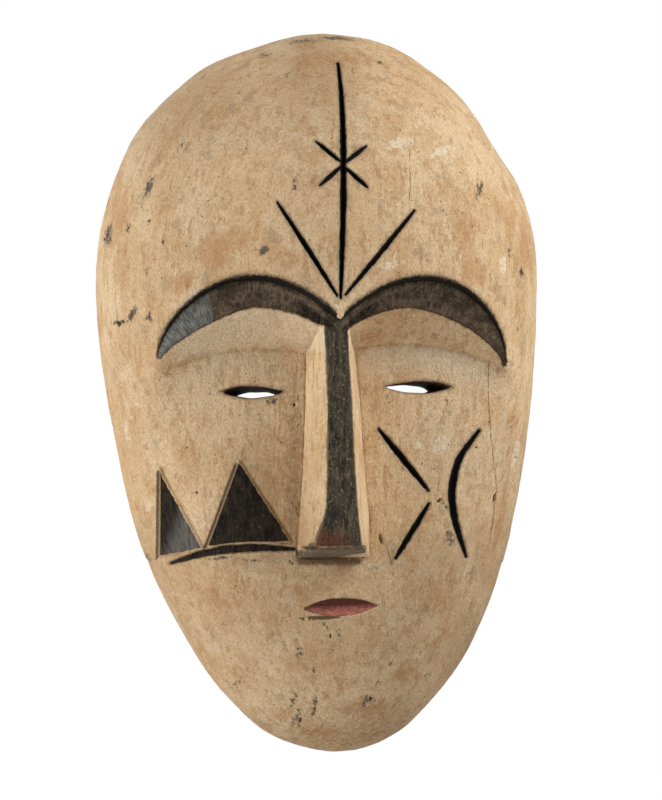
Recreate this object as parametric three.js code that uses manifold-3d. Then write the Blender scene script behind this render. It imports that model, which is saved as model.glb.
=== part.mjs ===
// Carved wooden face mask: a hollow dome of one piece of wood under a skin of white clay, with
// lines cut into it and fields of black and red pigment laid in and on the wood.
// Millimetres. +Z up, +X to the right of somebody who faces the mask, and the mask faces -Y.
// The back rim lies in the plane Y = 0. The origin is the middle of the rim's width at the top.
// "Depth" is the distance in front of that plane, so a point at depth d has y = -d.
import * as THREE from "three";
import { mergeVertices } from "three/addons/utils/BufferGeometryUtils.js";
import Module from "manifold-3d";

const wasm = await Module();
wasm.setup();

// ---- driving dimensions ----
const HEIGHT = 400;
const HALF_WIDTH = 123;
const WALL = 13;
const FOREHEAD_DEPTH = 114;
const JAW_DEPTH = 90;

// ---- outline and dome ----
const TOP_Z = WALL / 2;
const CHIN_Z = TOP_Z - HEIGHT;
const WIDEST_Z = TOP_Z - 0.345 * HEIGHT;
const CHIN_LEAN = 12; // how far the chin stands to the right of the brow's middle line
const DOME_POWER = 2.8; // 2 is a round dome, and a larger number a boxier one
const JAW_FROM_Z = -123.5; // the dome gets shallower from here down to JAW_TO_Z
const JAW_TO_Z = -323.5;
const SECTORS = 48;
const DOME_RINGS = 9;
const HOLLOW_RINGS = 7;

// ---- brow, face and nose ----
const BROW_PEAK = { x: 48, z: WIDEST_Z };
const BROW_INNER_DROP = 22;
const BROW_END = { x: 95, z: -176.5 };
const BROW_STEP = 5; // the forehead stands this far in front of the brow's upper edge
const BROW_ARC_POWER = 1.8;
const CRESCENT_PEAK_Z = -147.6;
const CRESCENT_INNER_DROP = 15;
const CRESCENT_LEFT = { peakX: 44, endX: 93, endZ: -180, power: 1.5 };
const CRESCENT_RIGHT = { peakX: 40, endX: 92, endZ: -181, power: 1.75 };
const CREASE = { x: 38, z: -167, reach: 55, drop: 13 }; // where the brow's slope meets the face
const CREASE_LEFT_DROP = 3; // the left one lies this much lower
const FACE_DEPTH = 79;
const FACE_CROWN = 6; // how far the face falls back towards its sides
const FACE_HALF_WIDTH = 88;
const FACE_BOTTOM_Z = -285.5;
const FACE_BOTTOM_STEP = 3;
const FACE_SIDE = 84; // the face's bottom line follows the dome this far from the outline's middle
const FACE_SIDE_SLOPE = 1.6; // and then falls back this much for each mm
const FACE_FADE = 22; // the face runs out into the jaw over this height
const FACE_COLUMNS = 24;
const SLOPE_ROWS = 4;
const FACE_ROWS = 4;
const FADE_ROWS = 2;
const NOSE_SECTIONS = [
  { z: -153, middle: -1.9, ridge: 6.3, base: 9, depth: 104 },
  { z: -172, middle: -1.2, ridge: 6.3, base: 13.4, depth: 109 },
  { z: -197, middle: 0, ridge: 6.5, base: 14.7, depth: 110 },
  { z: -237, middle: 0.7, ridge: 7.6, base: 16.8, depth: 111 },
  { z: -261, middle: 1.1, ridge: 9, base: 18.7, depth: 112 },
  { z: -274.5, middle: 0.6, ridge: 11.4, base: 19.3, depth: 112 },
];
const NOSE_FOOT_DEPTH = FACE_DEPTH - 3;
const NOSE_UNDERSIDE_FALL = 7; // the nose's underside slants down to the lip by this much
const UNDERSIDE_STAIN = { depth: 99, height: 9, thickness: 22, inset: 3 };

// ---- what is cut through the wood ----
const EYES = [
  { x: -43.6, z: -192.8, length: 33.5 },
  { x: 47.3, z: -190.2, length: 37.6 },
];
const EYE_HEIGHT = 6.2;
// A slit's cross-sections from front to back: its length shrinks, and its middle falls and moves
// towards the nose.
const EYE_SECTIONS = [
  { depth: FACE_DEPTH + 6, share: 1.04, fall: -0.6, inward: 0 },
  { depth: FACE_DEPTH - 4, share: 0.94, fall: 0.2, inward: 0.6 },
  { depth: FACE_DEPTH - 17, share: 0.68, fall: 3, inward: 4.5 },
  { depth: FACE_DEPTH - 27, share: 0.6, fall: 4, inward: 5 },
];
const TIE_HOLE_RADIUS = 2.5;
const TIE_HOLE_DEPTH = 12;
const TIE_HOLE_ZS = [-88, -193, -284];

// ---- carving and coatings ----
const LINE_DEPTH = 2.6;
const MOUTH_DEPTH = 3.2;
const TRIANGLE_RISE = 1.6;
const BAND_DEPTH = 1.4;
const GAP = 0.3; // between a coating and what it lies on or beside
const CLAY_THICKNESS = 0.7;
const PIGMENT_THICKNESS = 0.6;
const CLAY_RIM_MARGIN = 4; // bare wood beside the rim's plane

const FRONT = 150; // in front of everything
const CLEAR = 60; // past the wall's inside, wherever a cutter has to go through
const CUT_CLEARANCE = GAP + 0.2; // the clay stands this far back from what goes through the wood

// ---- cut lines: the ends or the points of each, as [x, z], and its greatest width ----
const LINES = {
  forehead_line: { points: [[3.4, -15], [0.3, -142]], width: 3 },
  forehead_ray_left: { points: [[-33.4, -92.5], [-3.6, -139.5]], width: 2.3 },
  forehead_ray_right: { points: [[40, -96.5], [4.6, -139]], width: 2.3 },
  forehead_cross_arm_upper_left: { points: [[-12.2, -60], [-1, -69.4]], width: 2 },
  forehead_cross_arm_lower_left: { points: [[-11, -83.8], [-1, -75]], width: 2 },
  forehead_cross_arm_upper_right: { points: [[15, -62], [4.8, -69.8]], width: 2 },
  forehead_cross_arm_lower_right: { points: [[14.8, -84.6], [4.6, -75.4]], width: 2 },
  cheek_stroke_upper: { points: [[25, -213], [53, -246.5]], width: 2.8 },
  cheek_stroke_lower: { points: [[53.3, -253.5], [34.6, -283]], width: 2.8 },
  cheek_crescent: {
    points: [[81.5, -214], [69.6, -229], [65.8, -247], [68.3, -263], [76, -282.5]],
    width: 3.6,
  },
  cheek_band: { points: [[-83.5, -286.5], [-54.5, -277.4], [-20.5, -277.8]], width: 2.8, cut: BAND_DEPTH },
};

// ---- raised triangles, as [x, z] corners running anticlockwise, and the mouth ----
const TRIANGLES = {
  cheek_triangle_small: [[-90.5, -234], [-86.5, -283.5], [-68.4, -276]],
  cheek_triangle_large: [[-50.2, -230.6], [-65.6, -272.8], [-22.8, -271.4]],
};
const MOUTH = { x: 5.9, z: -310, length: 39, height: 9.2 };

const CLAY_COLOUR = 0xc9a97c;
const WOOD_COLOUR = 0x7a5433;
const BLACK_COLOUR = 0x2c261f;
const BROWN_COLOUR = 0x4b3a2b;
const RED_COLOUR = 0x8f4a3c;

// ================= the surfaces as formulas =================
function smoothStep(from, to, value) {
  const t = Math.min(1, Math.max(0, (value - from) / (to - from)));
  return t * t * (3 - 2 * t);
}

// The outline's middle leans to the right below the widest line.
function leanAt(z) {
  const below = Math.max(0, (WIDEST_Z - z) / (WIDEST_Z - CHIN_Z));
  return CHIN_LEAN * below * below;
}

function domeHeightAt(z) {
  return FOREHEAD_DEPTH + (JAW_DEPTH - FOREHEAD_DEPTH) * smoothStep(JAW_FROM_Z, JAW_TO_Z, z);
}

function domeDepth(x, z) {
  const half = z > WIDEST_Z ? TOP_Z - WIDEST_Z : WIDEST_Z - CHIN_Z;
  const share = Math.hypot((x - leanAt(z)) / HALF_WIDTH, (z - WIDEST_Z) / half);
  return domeHeightAt(z) * Math.sqrt(Math.max(0, 1 - Math.min(1, share) ** DOME_POWER));
}

// One side of an arch: 0 at its peak, 1 at its end, with an upright end.
function archFall(share, power) {
  const inside = 1 - Math.min(1, Math.max(0, share)) ** power;
  return 1 - inside ** (1 / power);
}

function browEdgeZ(x) {
  const across = Math.abs(x);
  if (across < BROW_PEAK.x)
    return BROW_PEAK.z - BROW_INNER_DROP * ((BROW_PEAK.x - across) / BROW_PEAK.x) ** 2.15;
  const share = (across - BROW_PEAK.x) / (BROW_END.x - BROW_PEAK.x);
  return BROW_PEAK.z - (BROW_PEAK.z - BROW_END.z) * archFall(share, BROW_ARC_POWER);
}

function crescentEdgeZ(x) {
  const across = Math.abs(x);
  const { peakX, endX, endZ, power } = x < 0 ? CRESCENT_LEFT : CRESCENT_RIGHT;
  if (across < peakX)
    return CRESCENT_PEAK_Z - CRESCENT_INNER_DROP * ((peakX - across) / peakX) ** 2;
  const share = (across - peakX) / (endX - peakX);
  return CRESCENT_PEAK_Z - (CRESCENT_PEAK_Z - endZ) * archFall(share, power);
}

function creaseZ(x) {
  const top = CREASE.z - (x < 0 ? CREASE_LEFT_DROP : 0);
  return top - CREASE.drop * ((Math.abs(x) - CREASE.x) / CREASE.reach) ** 2;
}

function faceTopDepth(x) {
  return FACE_DEPTH - FACE_CROWN * (x / FACE_HALF_WIDTH) ** 2;
}

function faceBottomRecess(x) {
  return FACE_BOTTOM_STEP * (1 - (x / FACE_HALF_WIDTH) ** 2);
}

function faceBottomDepth(x) {
  const middle = leanAt(FACE_BOTTOM_Z);
  const held = Math.min(middle + FACE_SIDE, Math.max(middle - FACE_SIDE, x));
  return domeDepth(held, FACE_BOTTOM_Z) - FACE_SIDE_SLOPE * Math.abs(x - held) - faceBottomRecess(x);
}

// The face is ruled from its crease below the brow down to its bottom line.
function faceDepth(x, z) {
  if (z < FACE_BOTTOM_Z) {
    const left = 1 - (FACE_BOTTOM_Z - z) / FACE_FADE;
    return domeDepth(x, z) - faceBottomRecess(x) * left;
  }
  const share = (creaseZ(x) - z) / (creaseZ(x) - FACE_BOTTOM_Z);
  return faceTopDepth(x) * (1 - share) + faceBottomDepth(x) * share;
}

// The slope under the brow: a scooped crescent, then a flatter band down to the crease.
function slopeDepth(x, share) {
  const step = BROW_STEP * (1 - (x / BROW_END.x) ** 4);
  const top = domeDepth(x, browEdgeZ(x)) - step;
  const bottom = faceDepth(x, creaseZ(x));
  const scoop = share < 0.45 ? (0.32 * share) / 0.45 : 0.32 + (0.68 * (share - 0.45)) / 0.55;
  return top + (bottom - top) * scoop;
}

// ================= solids =================
function solidOf(geometry) {
  const bare = geometry.index ? geometry.toNonIndexed() : geometry.clone();
  bare.deleteAttribute("normal");
  bare.deleteAttribute("uv");
  const merged = mergeVertices(bare, 1e-4);
  return new wasm.Manifold(
    new wasm.Mesh({
      numProp: 3,
      vertProperties: merged.attributes.position.array,
      triVerts: new Uint32Array(merged.index.array),
    }),
  );
}

function geometryOf(solid) {
  const mesh = solid.getMesh();
  const geometry = new THREE.BufferGeometry();
  geometry.setAttribute("position", new THREE.BufferAttribute(mesh.vertProperties, 3));
  geometry.setIndex(new THREE.BufferAttribute(mesh.triVerts, 1));
  geometry.computeVertexNormals();
  return geometry;
}

function geometryFrom(points, triangles) {
  const geometry = new THREE.BufferGeometry();
  geometry.setAttribute("position", new THREE.Float32BufferAttribute(points.flat(), 3));
  geometry.setIndex(triangles.flat());
  return geometry;
}

// A closed solid from rings of equal length: each ring joins the next, and both ends are fans.
function ringSolid(rings) {
  const count = rings[0].length;
  const points = rings.flat();
  const triangles = [];
  for (let i = 0; i + 1 < rings.length; i++) {
    for (let j = 0; j < count; j++) {
      const a = i * count + j;
      const b = i * count + ((j + 1) % count);
      triangles.push([a, b, b + count], [a, b + count, a + count]);
    }
  }
  for (const [ring, first] of [[rings[0], 0], [rings.at(-1), (rings.length - 1) * count]]) {
    const middle = [0, 1, 2].map((k) => ring.reduce((sum, p) => sum + p[k], 0) / count);
    points.push(middle);
    for (let j = 0; j < count; j++) {
      const pair = [first + j, first + ((j + 1) % count)];
      if (first === 0) pair.reverse();
      triangles.push([pair[0], pair[1], points.length - 1]);
    }
  }
  const made = solidOf(geometryFrom(points, triangles));
  return made.volume() < 0 ? solidOf(geometryFrom(points, triangles.map((t) => t.toReversed()))) : made;
}

// The dome over the egg-shaped outline. inset makes it smaller all round, and heightAt gives its
// greatest depth at each level. It runs back to y = backY.
function domeSolid(inset, heightAt, rings, backY) {
  const ringAt = (share, y) => {
    const ring = [];
    const reach = Math.sin((Math.PI / 2) * share) ** (2 / DOME_POWER);
    for (let j = 0; j < SECTORS; j++) {
      const angle = (2 * Math.PI * j) / SECTORS;
      const half = (Math.sin(angle) > 0 ? TOP_Z - WIDEST_Z : WIDEST_Z - CHIN_Z) - inset;
      const z = WIDEST_Z + reach * half * Math.sin(angle);
      const x = leanAt(z) + reach * (HALF_WIDTH - inset) * Math.cos(angle);
      ring.push([x, y ?? -heightAt(z) * Math.cos((Math.PI / 2) * share), z]);
    }
    return ring;
  };
  const all = [];
  for (let i = 1; i < rings; i++) all.push(ringAt(i / rings));
  all.push(ringAt(1, 0));
  if (backY > 0) all.push(ringAt(1, backY));
  return ringSolid(all);
}

// What the carver takes away in front of the face: everything over the brow's slope, the face
// and its run-out. With growth, what is left stands that much prouder.
function faceCutter(growth) {
  const reach = FACE_HALF_WIDTH + 20;
  const back = [];
  for (let j = 0; j <= FACE_COLUMNS; j++) {
    const x = -reach + (2 * reach * j) / FACE_COLUMNS;
    const top = browEdgeZ(x);
    const crease = Math.min(creaseZ(x), top - 3);
    const column = [];
    for (let i = 0; i <= SLOPE_ROWS; i++) {
      const share = i / SLOPE_ROWS;
      const lowered = i === 0 ? growth : 0;
      column.push([x, -slopeDepth(x, share) - growth, top + (crease - top) * share - lowered]);
    }
    for (let i = 1; i <= FACE_ROWS; i++) {
      const z = crease + ((FACE_BOTTOM_Z - crease) * i) / FACE_ROWS;
      column.push([x, -faceDepth(x, z) - growth, z]);
    }
    for (let i = 1; i <= FADE_ROWS; i++) {
      const z = FACE_BOTTOM_Z - (FACE_FADE * i) / FADE_ROWS;
      const proud = i === FADE_ROWS ? 0.5 : 0;
      column.push([x, -faceDepth(x, z) - growth - proud, z]);
    }
    back.push(column);
  }
  // Each column is a closed ring in its own plane: down the carved surface, and up at the front.
  const rings = back.map((column) => {
    const x = column[0][0];
    return [...column, [x, -FRONT, column.at(-1)[2]], [x, -FRONT, column[0][2]]];
  });
  return ringSolid(rings);
}

function noseSolid(growth) {
  const rings = NOSE_SECTIONS.map((s, i) => {
    const tip = i === NOSE_SECTIONS.length - 1;
    const z = s.z - (tip ? growth : 0);
    const fall = tip ? NOSE_UNDERSIDE_FALL : 0;
    const ridge = s.ridge + growth;
    const base = s.base + growth;
    return [
      [s.middle - base, -CLEAR, z - fall],
      [s.middle - base, -NOSE_FOOT_DEPTH, z - fall],
      [s.middle - ridge, -s.depth - growth, z],
      [s.middle + ridge, -s.depth - growth, z],
      [s.middle + base, -NOSE_FOOT_DEPTH, z - fall],
      [s.middle + base, -CLEAR, z - fall],
    ];
  });
  return ringSolid(rings);
}

// The whole outside of the mask, grown outwards, with nothing hollowed or engraved.
const grownOutsides = new Map();
function outside(growth) {
  if (!grownOutsides.has(growth)) {
    const dome = domeSolid(-growth, (z) => domeHeightAt(z) + growth, DOME_RINGS, 0);
    grownOutsides.set(growth, dome.subtract(faceCutter(growth)).add(noseSolid(growth)));
  }
  return grownOutsides.get(growth);
}

// A skin that lies between two growths of the outside.
function skin(from, to) {
  return outside(to).subtract(outside(from));
}

// ================= outlines of the carving, in X and Z =================
// A prism along Y through the whole front, from an outline's [x, z] points.
function prism(outline) {
  const shape = new THREE.Shape(outline.map(([x, z]) => new THREE.Vector2(x, z)));
  const geometry = new THREE.ExtrudeGeometry(shape, { depth: FRONT, bevelEnabled: false });
  return solidOf(geometry.rotateX(Math.PI / 2));
}

// A cut line that tapers at both ends. growth widens it, or narrows it where negative.
function strokeOutline(curve, width, growth) {
  const steps = Math.max(6, Math.round(curve.getLength() / 9));
  const left = [];
  const right = [];
  for (let i = 0; i <= steps; i++) {
    const t = i / steps;
    const at = curve.getPoint(t);
    const along = curve.getTangent(t);
    const half = width * (0.16 + 0.34 * Math.sin(Math.PI * t) ** 0.6) + growth;
    const end = i === 0 ? -growth : i === steps ? growth : 0;
    const x = at.x + along.x * end;
    const z = at.y + along.y * end;
    left.push([x - along.y * half, z + along.x * half]);
    right.unshift([x + along.y * half, z - along.x * half]);
  }
  return [...left, ...right];
}

// A straight line between two points, or a smooth one through more.
function curveThrough(points) {
  const vectors = points.map((p) => new THREE.Vector2(...p));
  return vectors.length === 2 ? new THREE.LineCurve(...vectors) : new THREE.SplineCurve(vectors);
}

// A convex outline moved outwards by growth, edge by edge. Its points run anticlockwise.
function polygonOutline(points, growth) {
  return points.map((here, i) => {
    const before = points.at(i - 1);
    const after = points[(i + 1) % points.length];
    const a = new THREE.Vector2(here[0] - before[0], here[1] - before[1]).normalize();
    const b = new THREE.Vector2(after[0] - here[0], after[1] - here[1]).normalize();
    const outward = new THREE.Vector2(a.y + b.y, -a.x - b.x);
    const scale = growth / (1 + a.dot(b));
    return [here[0] + outward.x * scale, here[1] + outward.y * scale];
  });
}

function lensOutline(centre, length, height, growth) {
  const points = [];
  const steps = 10;
  for (let i = 0; i < 2 * steps; i++) {
    const angle = (Math.PI * i) / steps;
    const x = centre.x + (length / 2 + growth) * Math.cos(angle);
    const bow = Math.sign(Math.sin(angle)) * Math.abs(Math.sin(angle)) ** 1.35;
    points.push([x, centre.z + (height / 2 + growth) * bow]);
  }
  return points;
}

// One brow's crescent, between the brow's edge and the crescent's lower edge.
function crescentOutline(side, growth) {
  const upper = [];
  const lower = [];
  const from = NOSE_SECTIONS[0].ridge + 3 - growth;
  const to = BROW_END.x - 5.5 + growth;
  const steps = 14;
  for (let i = 0; i <= steps; i++) {
    const x = from + (to - from) * Math.sin((Math.PI / 2) * (i / steps));
    upper.push([side * x, browEdgeZ(x) + growth]);
    lower.unshift([side * x, Math.min(crescentEdgeZ(side * x), browEdgeZ(x) - 2) - growth]);
  }
  const points = [...upper, ...lower];
  return side > 0 ? points.toReversed() : points;
}

function noseRidgeOutline(growth) {
  const half = (section) => section.ridge - 0.4 + growth;
  const levels = NOSE_SECTIONS.map((s) => s.z);
  levels[0] = browEdgeZ(0) - 1 + growth;
  levels[levels.length - 1] += 1.4 - growth;
  const left = NOSE_SECTIONS.map((s, i) => [s.middle - half(s), levels[i]]);
  const right = NOSE_SECTIONS.map((s, i) => [s.middle + half(s), levels[i]]).toReversed();
  return [...left, ...right];
}

// ================= the carved fields =================
// rise: how high the wood's own surface stands in the field, below 0 where it is cut in.
const fields = [];
for (const [name, { points, width, cut }] of Object.entries(LINES)) {
  const curve = curveThrough(points);
  const outline = (growth) => strokeOutline(curve, width, growth);
  fields.push({ name, outline, rise: -(cut ?? LINE_DEPTH), colour: BLACK_COLOUR });
}
for (const [name, points] of Object.entries(TRIANGLES)) {
  const outline = (growth) => polygonOutline(points, growth);
  fields.push({ name, outline, rise: TRIANGLE_RISE, colour: BLACK_COLOUR });
}
for (const [name, side] of [["brow_left", -1], ["brow_right", 1]]) {
  fields.push({ name, outline: (growth) => crescentOutline(side, growth), rise: 0, colour: BROWN_COLOUR });
}
fields.push({ name: "nose_ridge", outline: noseRidgeOutline, rise: 0, colour: BLACK_COLOUR });
fields.push({
  name: "mouth",
  outline: (growth) => lensOutline(MOUTH, MOUTH.length, MOUTH.height, growth),
  rise: -MOUTH_DEPTH,
  colour: RED_COLOUR,
});

// ================= the wood =================
function hollow() {
  const heightAt = (z) => {
    const forehead = FOREHEAD_DEPTH - WALL - 2;
    const face = FACE_DEPTH - WALL - 3;
    return forehead + (face - forehead) * smoothStep(-100, -162, z);
  };
  return domeSolid(WALL, heightAt, HOLLOW_RINGS, 5);
}

// A slit through the wall.
function eyeSlit({ x, z, length }, growth) {
  const rings = EYE_SECTIONS.map(({ depth, share, fall, inward }) => {
    const centre = { x: x - Math.sign(x) * inward, z: z - fall };
    return lensOutline(centre, length * share, EYE_HEIGHT, growth).map((p) => [p[0], -depth, p[1]]);
  });
  return ringSolid(rings);
}

// Small holes through the side wall, for the cord or the cloth that ties the mask on.
function tieHoles(growth) {
  const holes = [];
  for (const z of TIE_HOLE_ZS) {
    for (const side of [-1, 1]) {
      const geometry = new THREE.CylinderGeometry(
        TIE_HOLE_RADIUS + growth,
        TIE_HOLE_RADIUS + growth,
        2 * CLEAR,
        12,
      );
      geometry.rotateZ(Math.PI / 2);
      geometry.translate(leanAt(z) + side * (HALF_WIDTH - 15), -TIE_HOLE_DEPTH, z);
      holes.push(solidOf(geometry));
    }
  }
  return holes.reduce((all, hole) => all.add(hole));
}

const cutThrough = EYES.map((eye) => eyeSlit(eye, 0)).reduce((all, slit) => all.add(slit), tieHoles(0));
let wood = outside(0).subtract(hollow()).subtract(cutThrough);
let clay = skin(GAP, GAP + CLAY_THICKNESS);
const pigments = [];
for (const { name, outline, rise, colour } of fields) {
  const column = prism(outline(0));
  if (rise < 0) wood = wood.subtract(column.subtract(outside(rise)));
  if (rise > 0) wood = wood.add(column.intersect(skin(-1, rise)));
  clay = clay.subtract(prism(outline(GAP)));
  const layer = skin(rise + GAP, rise + GAP + PIGMENT_THICKNESS);
  pigments.push({ name, colour, solid: prism(outline(-GAP)).intersect(layer) });
}

// The nose's underside has its own pigment, in front of the lip.
function undersideBlock(growth) {
  const tip = NOSE_SECTIONS.at(-1);
  const { depth, height, thickness, inset } = UNDERSIDE_STAIN;
  const width = 2 * (tip.base - inset);
  const geometry = new THREE.BoxGeometry(width + growth, thickness + growth, height + growth);
  return solidOf(geometry.translate(tip.middle, -depth, tip.z - height / 2 + GAP));
}

clay = clay.subtract(undersideBlock(2 * GAP));
pigments.push({
  name: "nose_underside",
  colour: BROWN_COLOUR,
  solid: undersideBlock(0).intersect(skin(GAP, GAP + PIGMENT_THICKNESS)),
});

// The clay leaves the eye slits, the tie holes and a margin beside the rim bare.
for (const eye of EYES) clay = clay.subtract(eyeSlit(eye, CUT_CLEARANCE));
clay = clay.subtract(tieHoles(CUT_CLEARANCE));
const rimMargin = new THREE.BoxGeometry(2 * HEIGHT, 2 * CLAY_RIM_MARGIN, 3 * HEIGHT);
clay = clay.subtract(solidOf(rimMargin));

// ================= the part =================
function largestPiece(solid) {
  return solid.decompose().sort((a, b) => b.volume() - a.volume())[0];
}

function meshOf(name, solid, colour, roughness) {
  const material = new THREE.MeshStandardMaterial({ color: colour, roughness, metalness: 0 });
  const mesh = new THREE.Mesh(geometryOf(largestPiece(solid)), material);
  mesh.name = name;
  return mesh;
}

const mask = new THREE.Group();
mask.add(meshOf("wooden_shell", wood, WOOD_COLOUR, 0.85));
mask.add(meshOf("white_clay_skin", clay, CLAY_COLOUR, 0.95));
for (const { name, solid, colour } of pigments) mask.add(meshOf(`${name}_pigment`, solid, colour, 0.8));

export default mask;
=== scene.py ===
"""A carved wooden face mask, in metres in the CAD's frame: +Z up, and the mask faces -Y.

The wood, the clay skin and every field of pigment are separate closed meshes. They all come from
one formula for the carved front, carved_depth(), which repeats the CAD's dimensions. The clay and
the pigments lie on the wood as thin layers, and each dips under its neighbour where it ends.
"""

import math

import bpy
import numpy as np
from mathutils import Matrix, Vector


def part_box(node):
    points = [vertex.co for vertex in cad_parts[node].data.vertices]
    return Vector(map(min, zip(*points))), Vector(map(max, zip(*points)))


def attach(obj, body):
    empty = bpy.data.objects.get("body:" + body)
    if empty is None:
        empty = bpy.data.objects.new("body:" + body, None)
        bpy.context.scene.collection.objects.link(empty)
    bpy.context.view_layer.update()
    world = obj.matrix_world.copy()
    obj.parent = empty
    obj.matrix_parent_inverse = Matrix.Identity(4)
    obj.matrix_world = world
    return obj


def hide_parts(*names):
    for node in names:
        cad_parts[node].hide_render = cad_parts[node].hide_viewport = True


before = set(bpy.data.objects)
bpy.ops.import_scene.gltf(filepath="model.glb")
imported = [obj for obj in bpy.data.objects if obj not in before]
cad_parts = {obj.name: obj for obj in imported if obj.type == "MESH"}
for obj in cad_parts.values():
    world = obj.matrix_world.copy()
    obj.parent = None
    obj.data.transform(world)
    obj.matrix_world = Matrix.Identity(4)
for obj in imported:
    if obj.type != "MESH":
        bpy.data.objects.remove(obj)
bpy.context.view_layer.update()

MM = 0.001
FINENESS = 1.0


def box_mm(node):
    """A CAD node's lowest and highest corners in millimetres."""
    low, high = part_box(node)
    return [c / MM for c in low], [c / MM for c in high]


# ---- the mask's sizes in millimetres, as in the CAD ----
SHELL_LOW, SHELL_HIGH = box_mm("wooden_shell")
TOP_Z = SHELL_HIGH[2]
CHIN_Z = SHELL_LOW[2]
HALF_WIDTH = (SHELL_HIGH[0] - SHELL_LOW[0]) / 2
WIDEST_Z = TOP_Z - 0.345 * (TOP_Z - CHIN_Z)
WALL = 2 * TOP_Z  # the origin is the middle of the rim's width
FOREHEAD_DEPTH = 114
JAW_DEPTH = 90
JAW_FROM_Z, JAW_TO_Z = -123.5, -323.5
CHIN_LEAN = 12
DOME_POWER = 2.8
BROW_PEAK_X, BROW_INNER_DROP = 48, 22
BROW_END_X, BROW_END_Z = 95, -176.5
BROW_STEP = 5
BROW_ARC_X, BROW_ARC_Z, BROW_ARC_RADIUS = 42, -215, 62  # the arc that the brows' brush strokes follow
CRESCENT_PEAK_Z, CRESCENT_INNER_DROP = -147.6, 15
CRESCENT_LEFT = (44, 92.5, -174.5, 1.3)  # the peak's x, the end's x and z, and the arch's power
CRESCENT_RIGHT = (40, 94, -178.5, 1.5)
CREASE_X, CREASE_Z, CREASE_REACH, CREASE_DROP = 38, -167, 55, 13
CREASE_LEFT_DROP = 3
FACE_DEPTH, FACE_CROWN, FACE_HALF_WIDTH = 79, 6, 88
FACE_BOTTOM_Z, FACE_BOTTOM_STEP, FACE_FADE = -285.5, 3, 22
FACE_SIDE, FACE_SIDE_SLOPE = 84, 1.6
NOSE_ZS = (-276.5, -261, -237, -197, -172, -153)
NOSE_MIDDLES = (0.6, 1.1, 0.7, 0, -1.2, -1.9)
NOSE_RIDGES = (11.4, 9, 7.6, 6.5, 6.3, 6.3)
NOSE_BASES = (19.3, 18.7, 16.8, 14.7, 13.4, 10)
NOSE_DEPTHS = (112, 112, 111, 110, 109, 107.5)
NOSE_UNDERSIDE_SLOPE = 6.5
NOSE_TIP_Z = NOSE_ZS[0]
TIP_STAIN_X, TIP_STAIN_HALF, TIP_STAIN_TILT = -1.7, 17.5, 0.09  # middle, half width and slope
NOSE_STAIN_SPREAD = 2.4  # how far the ridge's stain runs onto the left flank at the tip
EYES = {"left": (-43.6, -192.8, 33.5), "right": (47.3, -190.2, 37.6)}  # middle x, z and length
EYE_PASSAGES = {"left": (0.68, 4.5, 2.6), "right": (0.79, 6.6, 1.7)}  # share of length, shift, fall
EYE_HEIGHT = 6.2
EYE_LID_FALL = 0.5  # how much of its height the upper edge loses towards the nose
MOUTH_X, MOUTH_Z, MOUTH_LENGTH, MOUTH_HEIGHT, MOUTH_DEPTH = 5.9, -310, 39, 9.2, 3.2
MOUTH_TILT = 0.035
TIE_HOLE_ZS, TIE_HOLE_INSET, TIE_HOLE_DEPTH, TIE_HOLE_RADIUS = (-88, -193, -284), 15, 12, 2.5
TRIANGLE_RISE = 1.5
TRIANGLE_EDGE = 0.35  # the clay laps this far over a triangle's edge
LINE_DEPTH = 2.6
CLAY = 0.6  # the clay's thickness
GRID_POWER = 1.1  # how much the meshes' grids crowd towards the middle
WOOD_GRID, CLAY_GRID = (250, 350), (680, 940)  # columns and rows
WOOD_TRIANGLES, CLAY_TRIANGLES = 190_000, 195_000  # the most that each keeps
CLAY_RIM_Y = -0.4  # the clay ends this far in front of the rim's plane
SLIT_IN_CLAY = 0.35  # how much larger the clay's slits are than the wood's
BURIED = -0.9  # how far a layer dips below the wood where it isn't seen


# ================= numbers: noise and soft shapes =================
def smoothstep(low, high, value):
    t = np.clip((value - low) / (high - low), 0, 1)
    return t * t * (3 - 2 * t)


def soft_min(a, b, radius):
    h = np.clip(0.5 + 0.5 * (b - a) / radius, 0, 1)
    return b + (a - b) * h - radius * h * (1 - h)


def soft_max(a, b, radius):
    return -soft_min(-a, -b, radius)


def random_at(ix, iy, iz, seed):
    """A random number from 0 to 1 for each whole-numbered place."""
    h = (ix * 374761393 + iy * 668265263 + iz * 1440662683 + seed * 974634777) & 0xFFFFFFFF
    h = ((h ^ (h >> 13)) * 1274126177) & 0xFFFFFFFF
    return (h ^ (h >> 16)) / 0xFFFFFFFF


def noise(x, y, z, size, seed, octaves=1):
    """Smooth noise from about -1 to 1. size is a bump's size in mm, or three sizes."""
    sizes = np.broadcast_to(size, 3).astype(float)
    total = np.zeros(np.broadcast(x, y, z).shape)
    weight = 1.0
    for octave in range(octaves):
        ps = [np.asarray(p) / s + 17.3 * octave for p, s in zip((x, y, z), sizes, strict=True)]
        cells = [np.floor(p).astype(np.int64) for p in ps]
        fades = [smoothstep(0, 1, p - c) for p, c in zip(ps, cells, strict=True)]
        for corner in range(8):
            steps = [corner & 1, corner >> 1 & 1, corner >> 2]
            share = 1.0
            for fade, step in zip(fades, steps, strict=True):
                share = share * (fade if step else 1 - fade)
            places = [c + s for c, s in zip(cells, steps, strict=True)]
            total += weight * share * (2 * random_at(*places, seed + octave) - 1)
        weight *= 0.5
        sizes = sizes / 2
    return total


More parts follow.
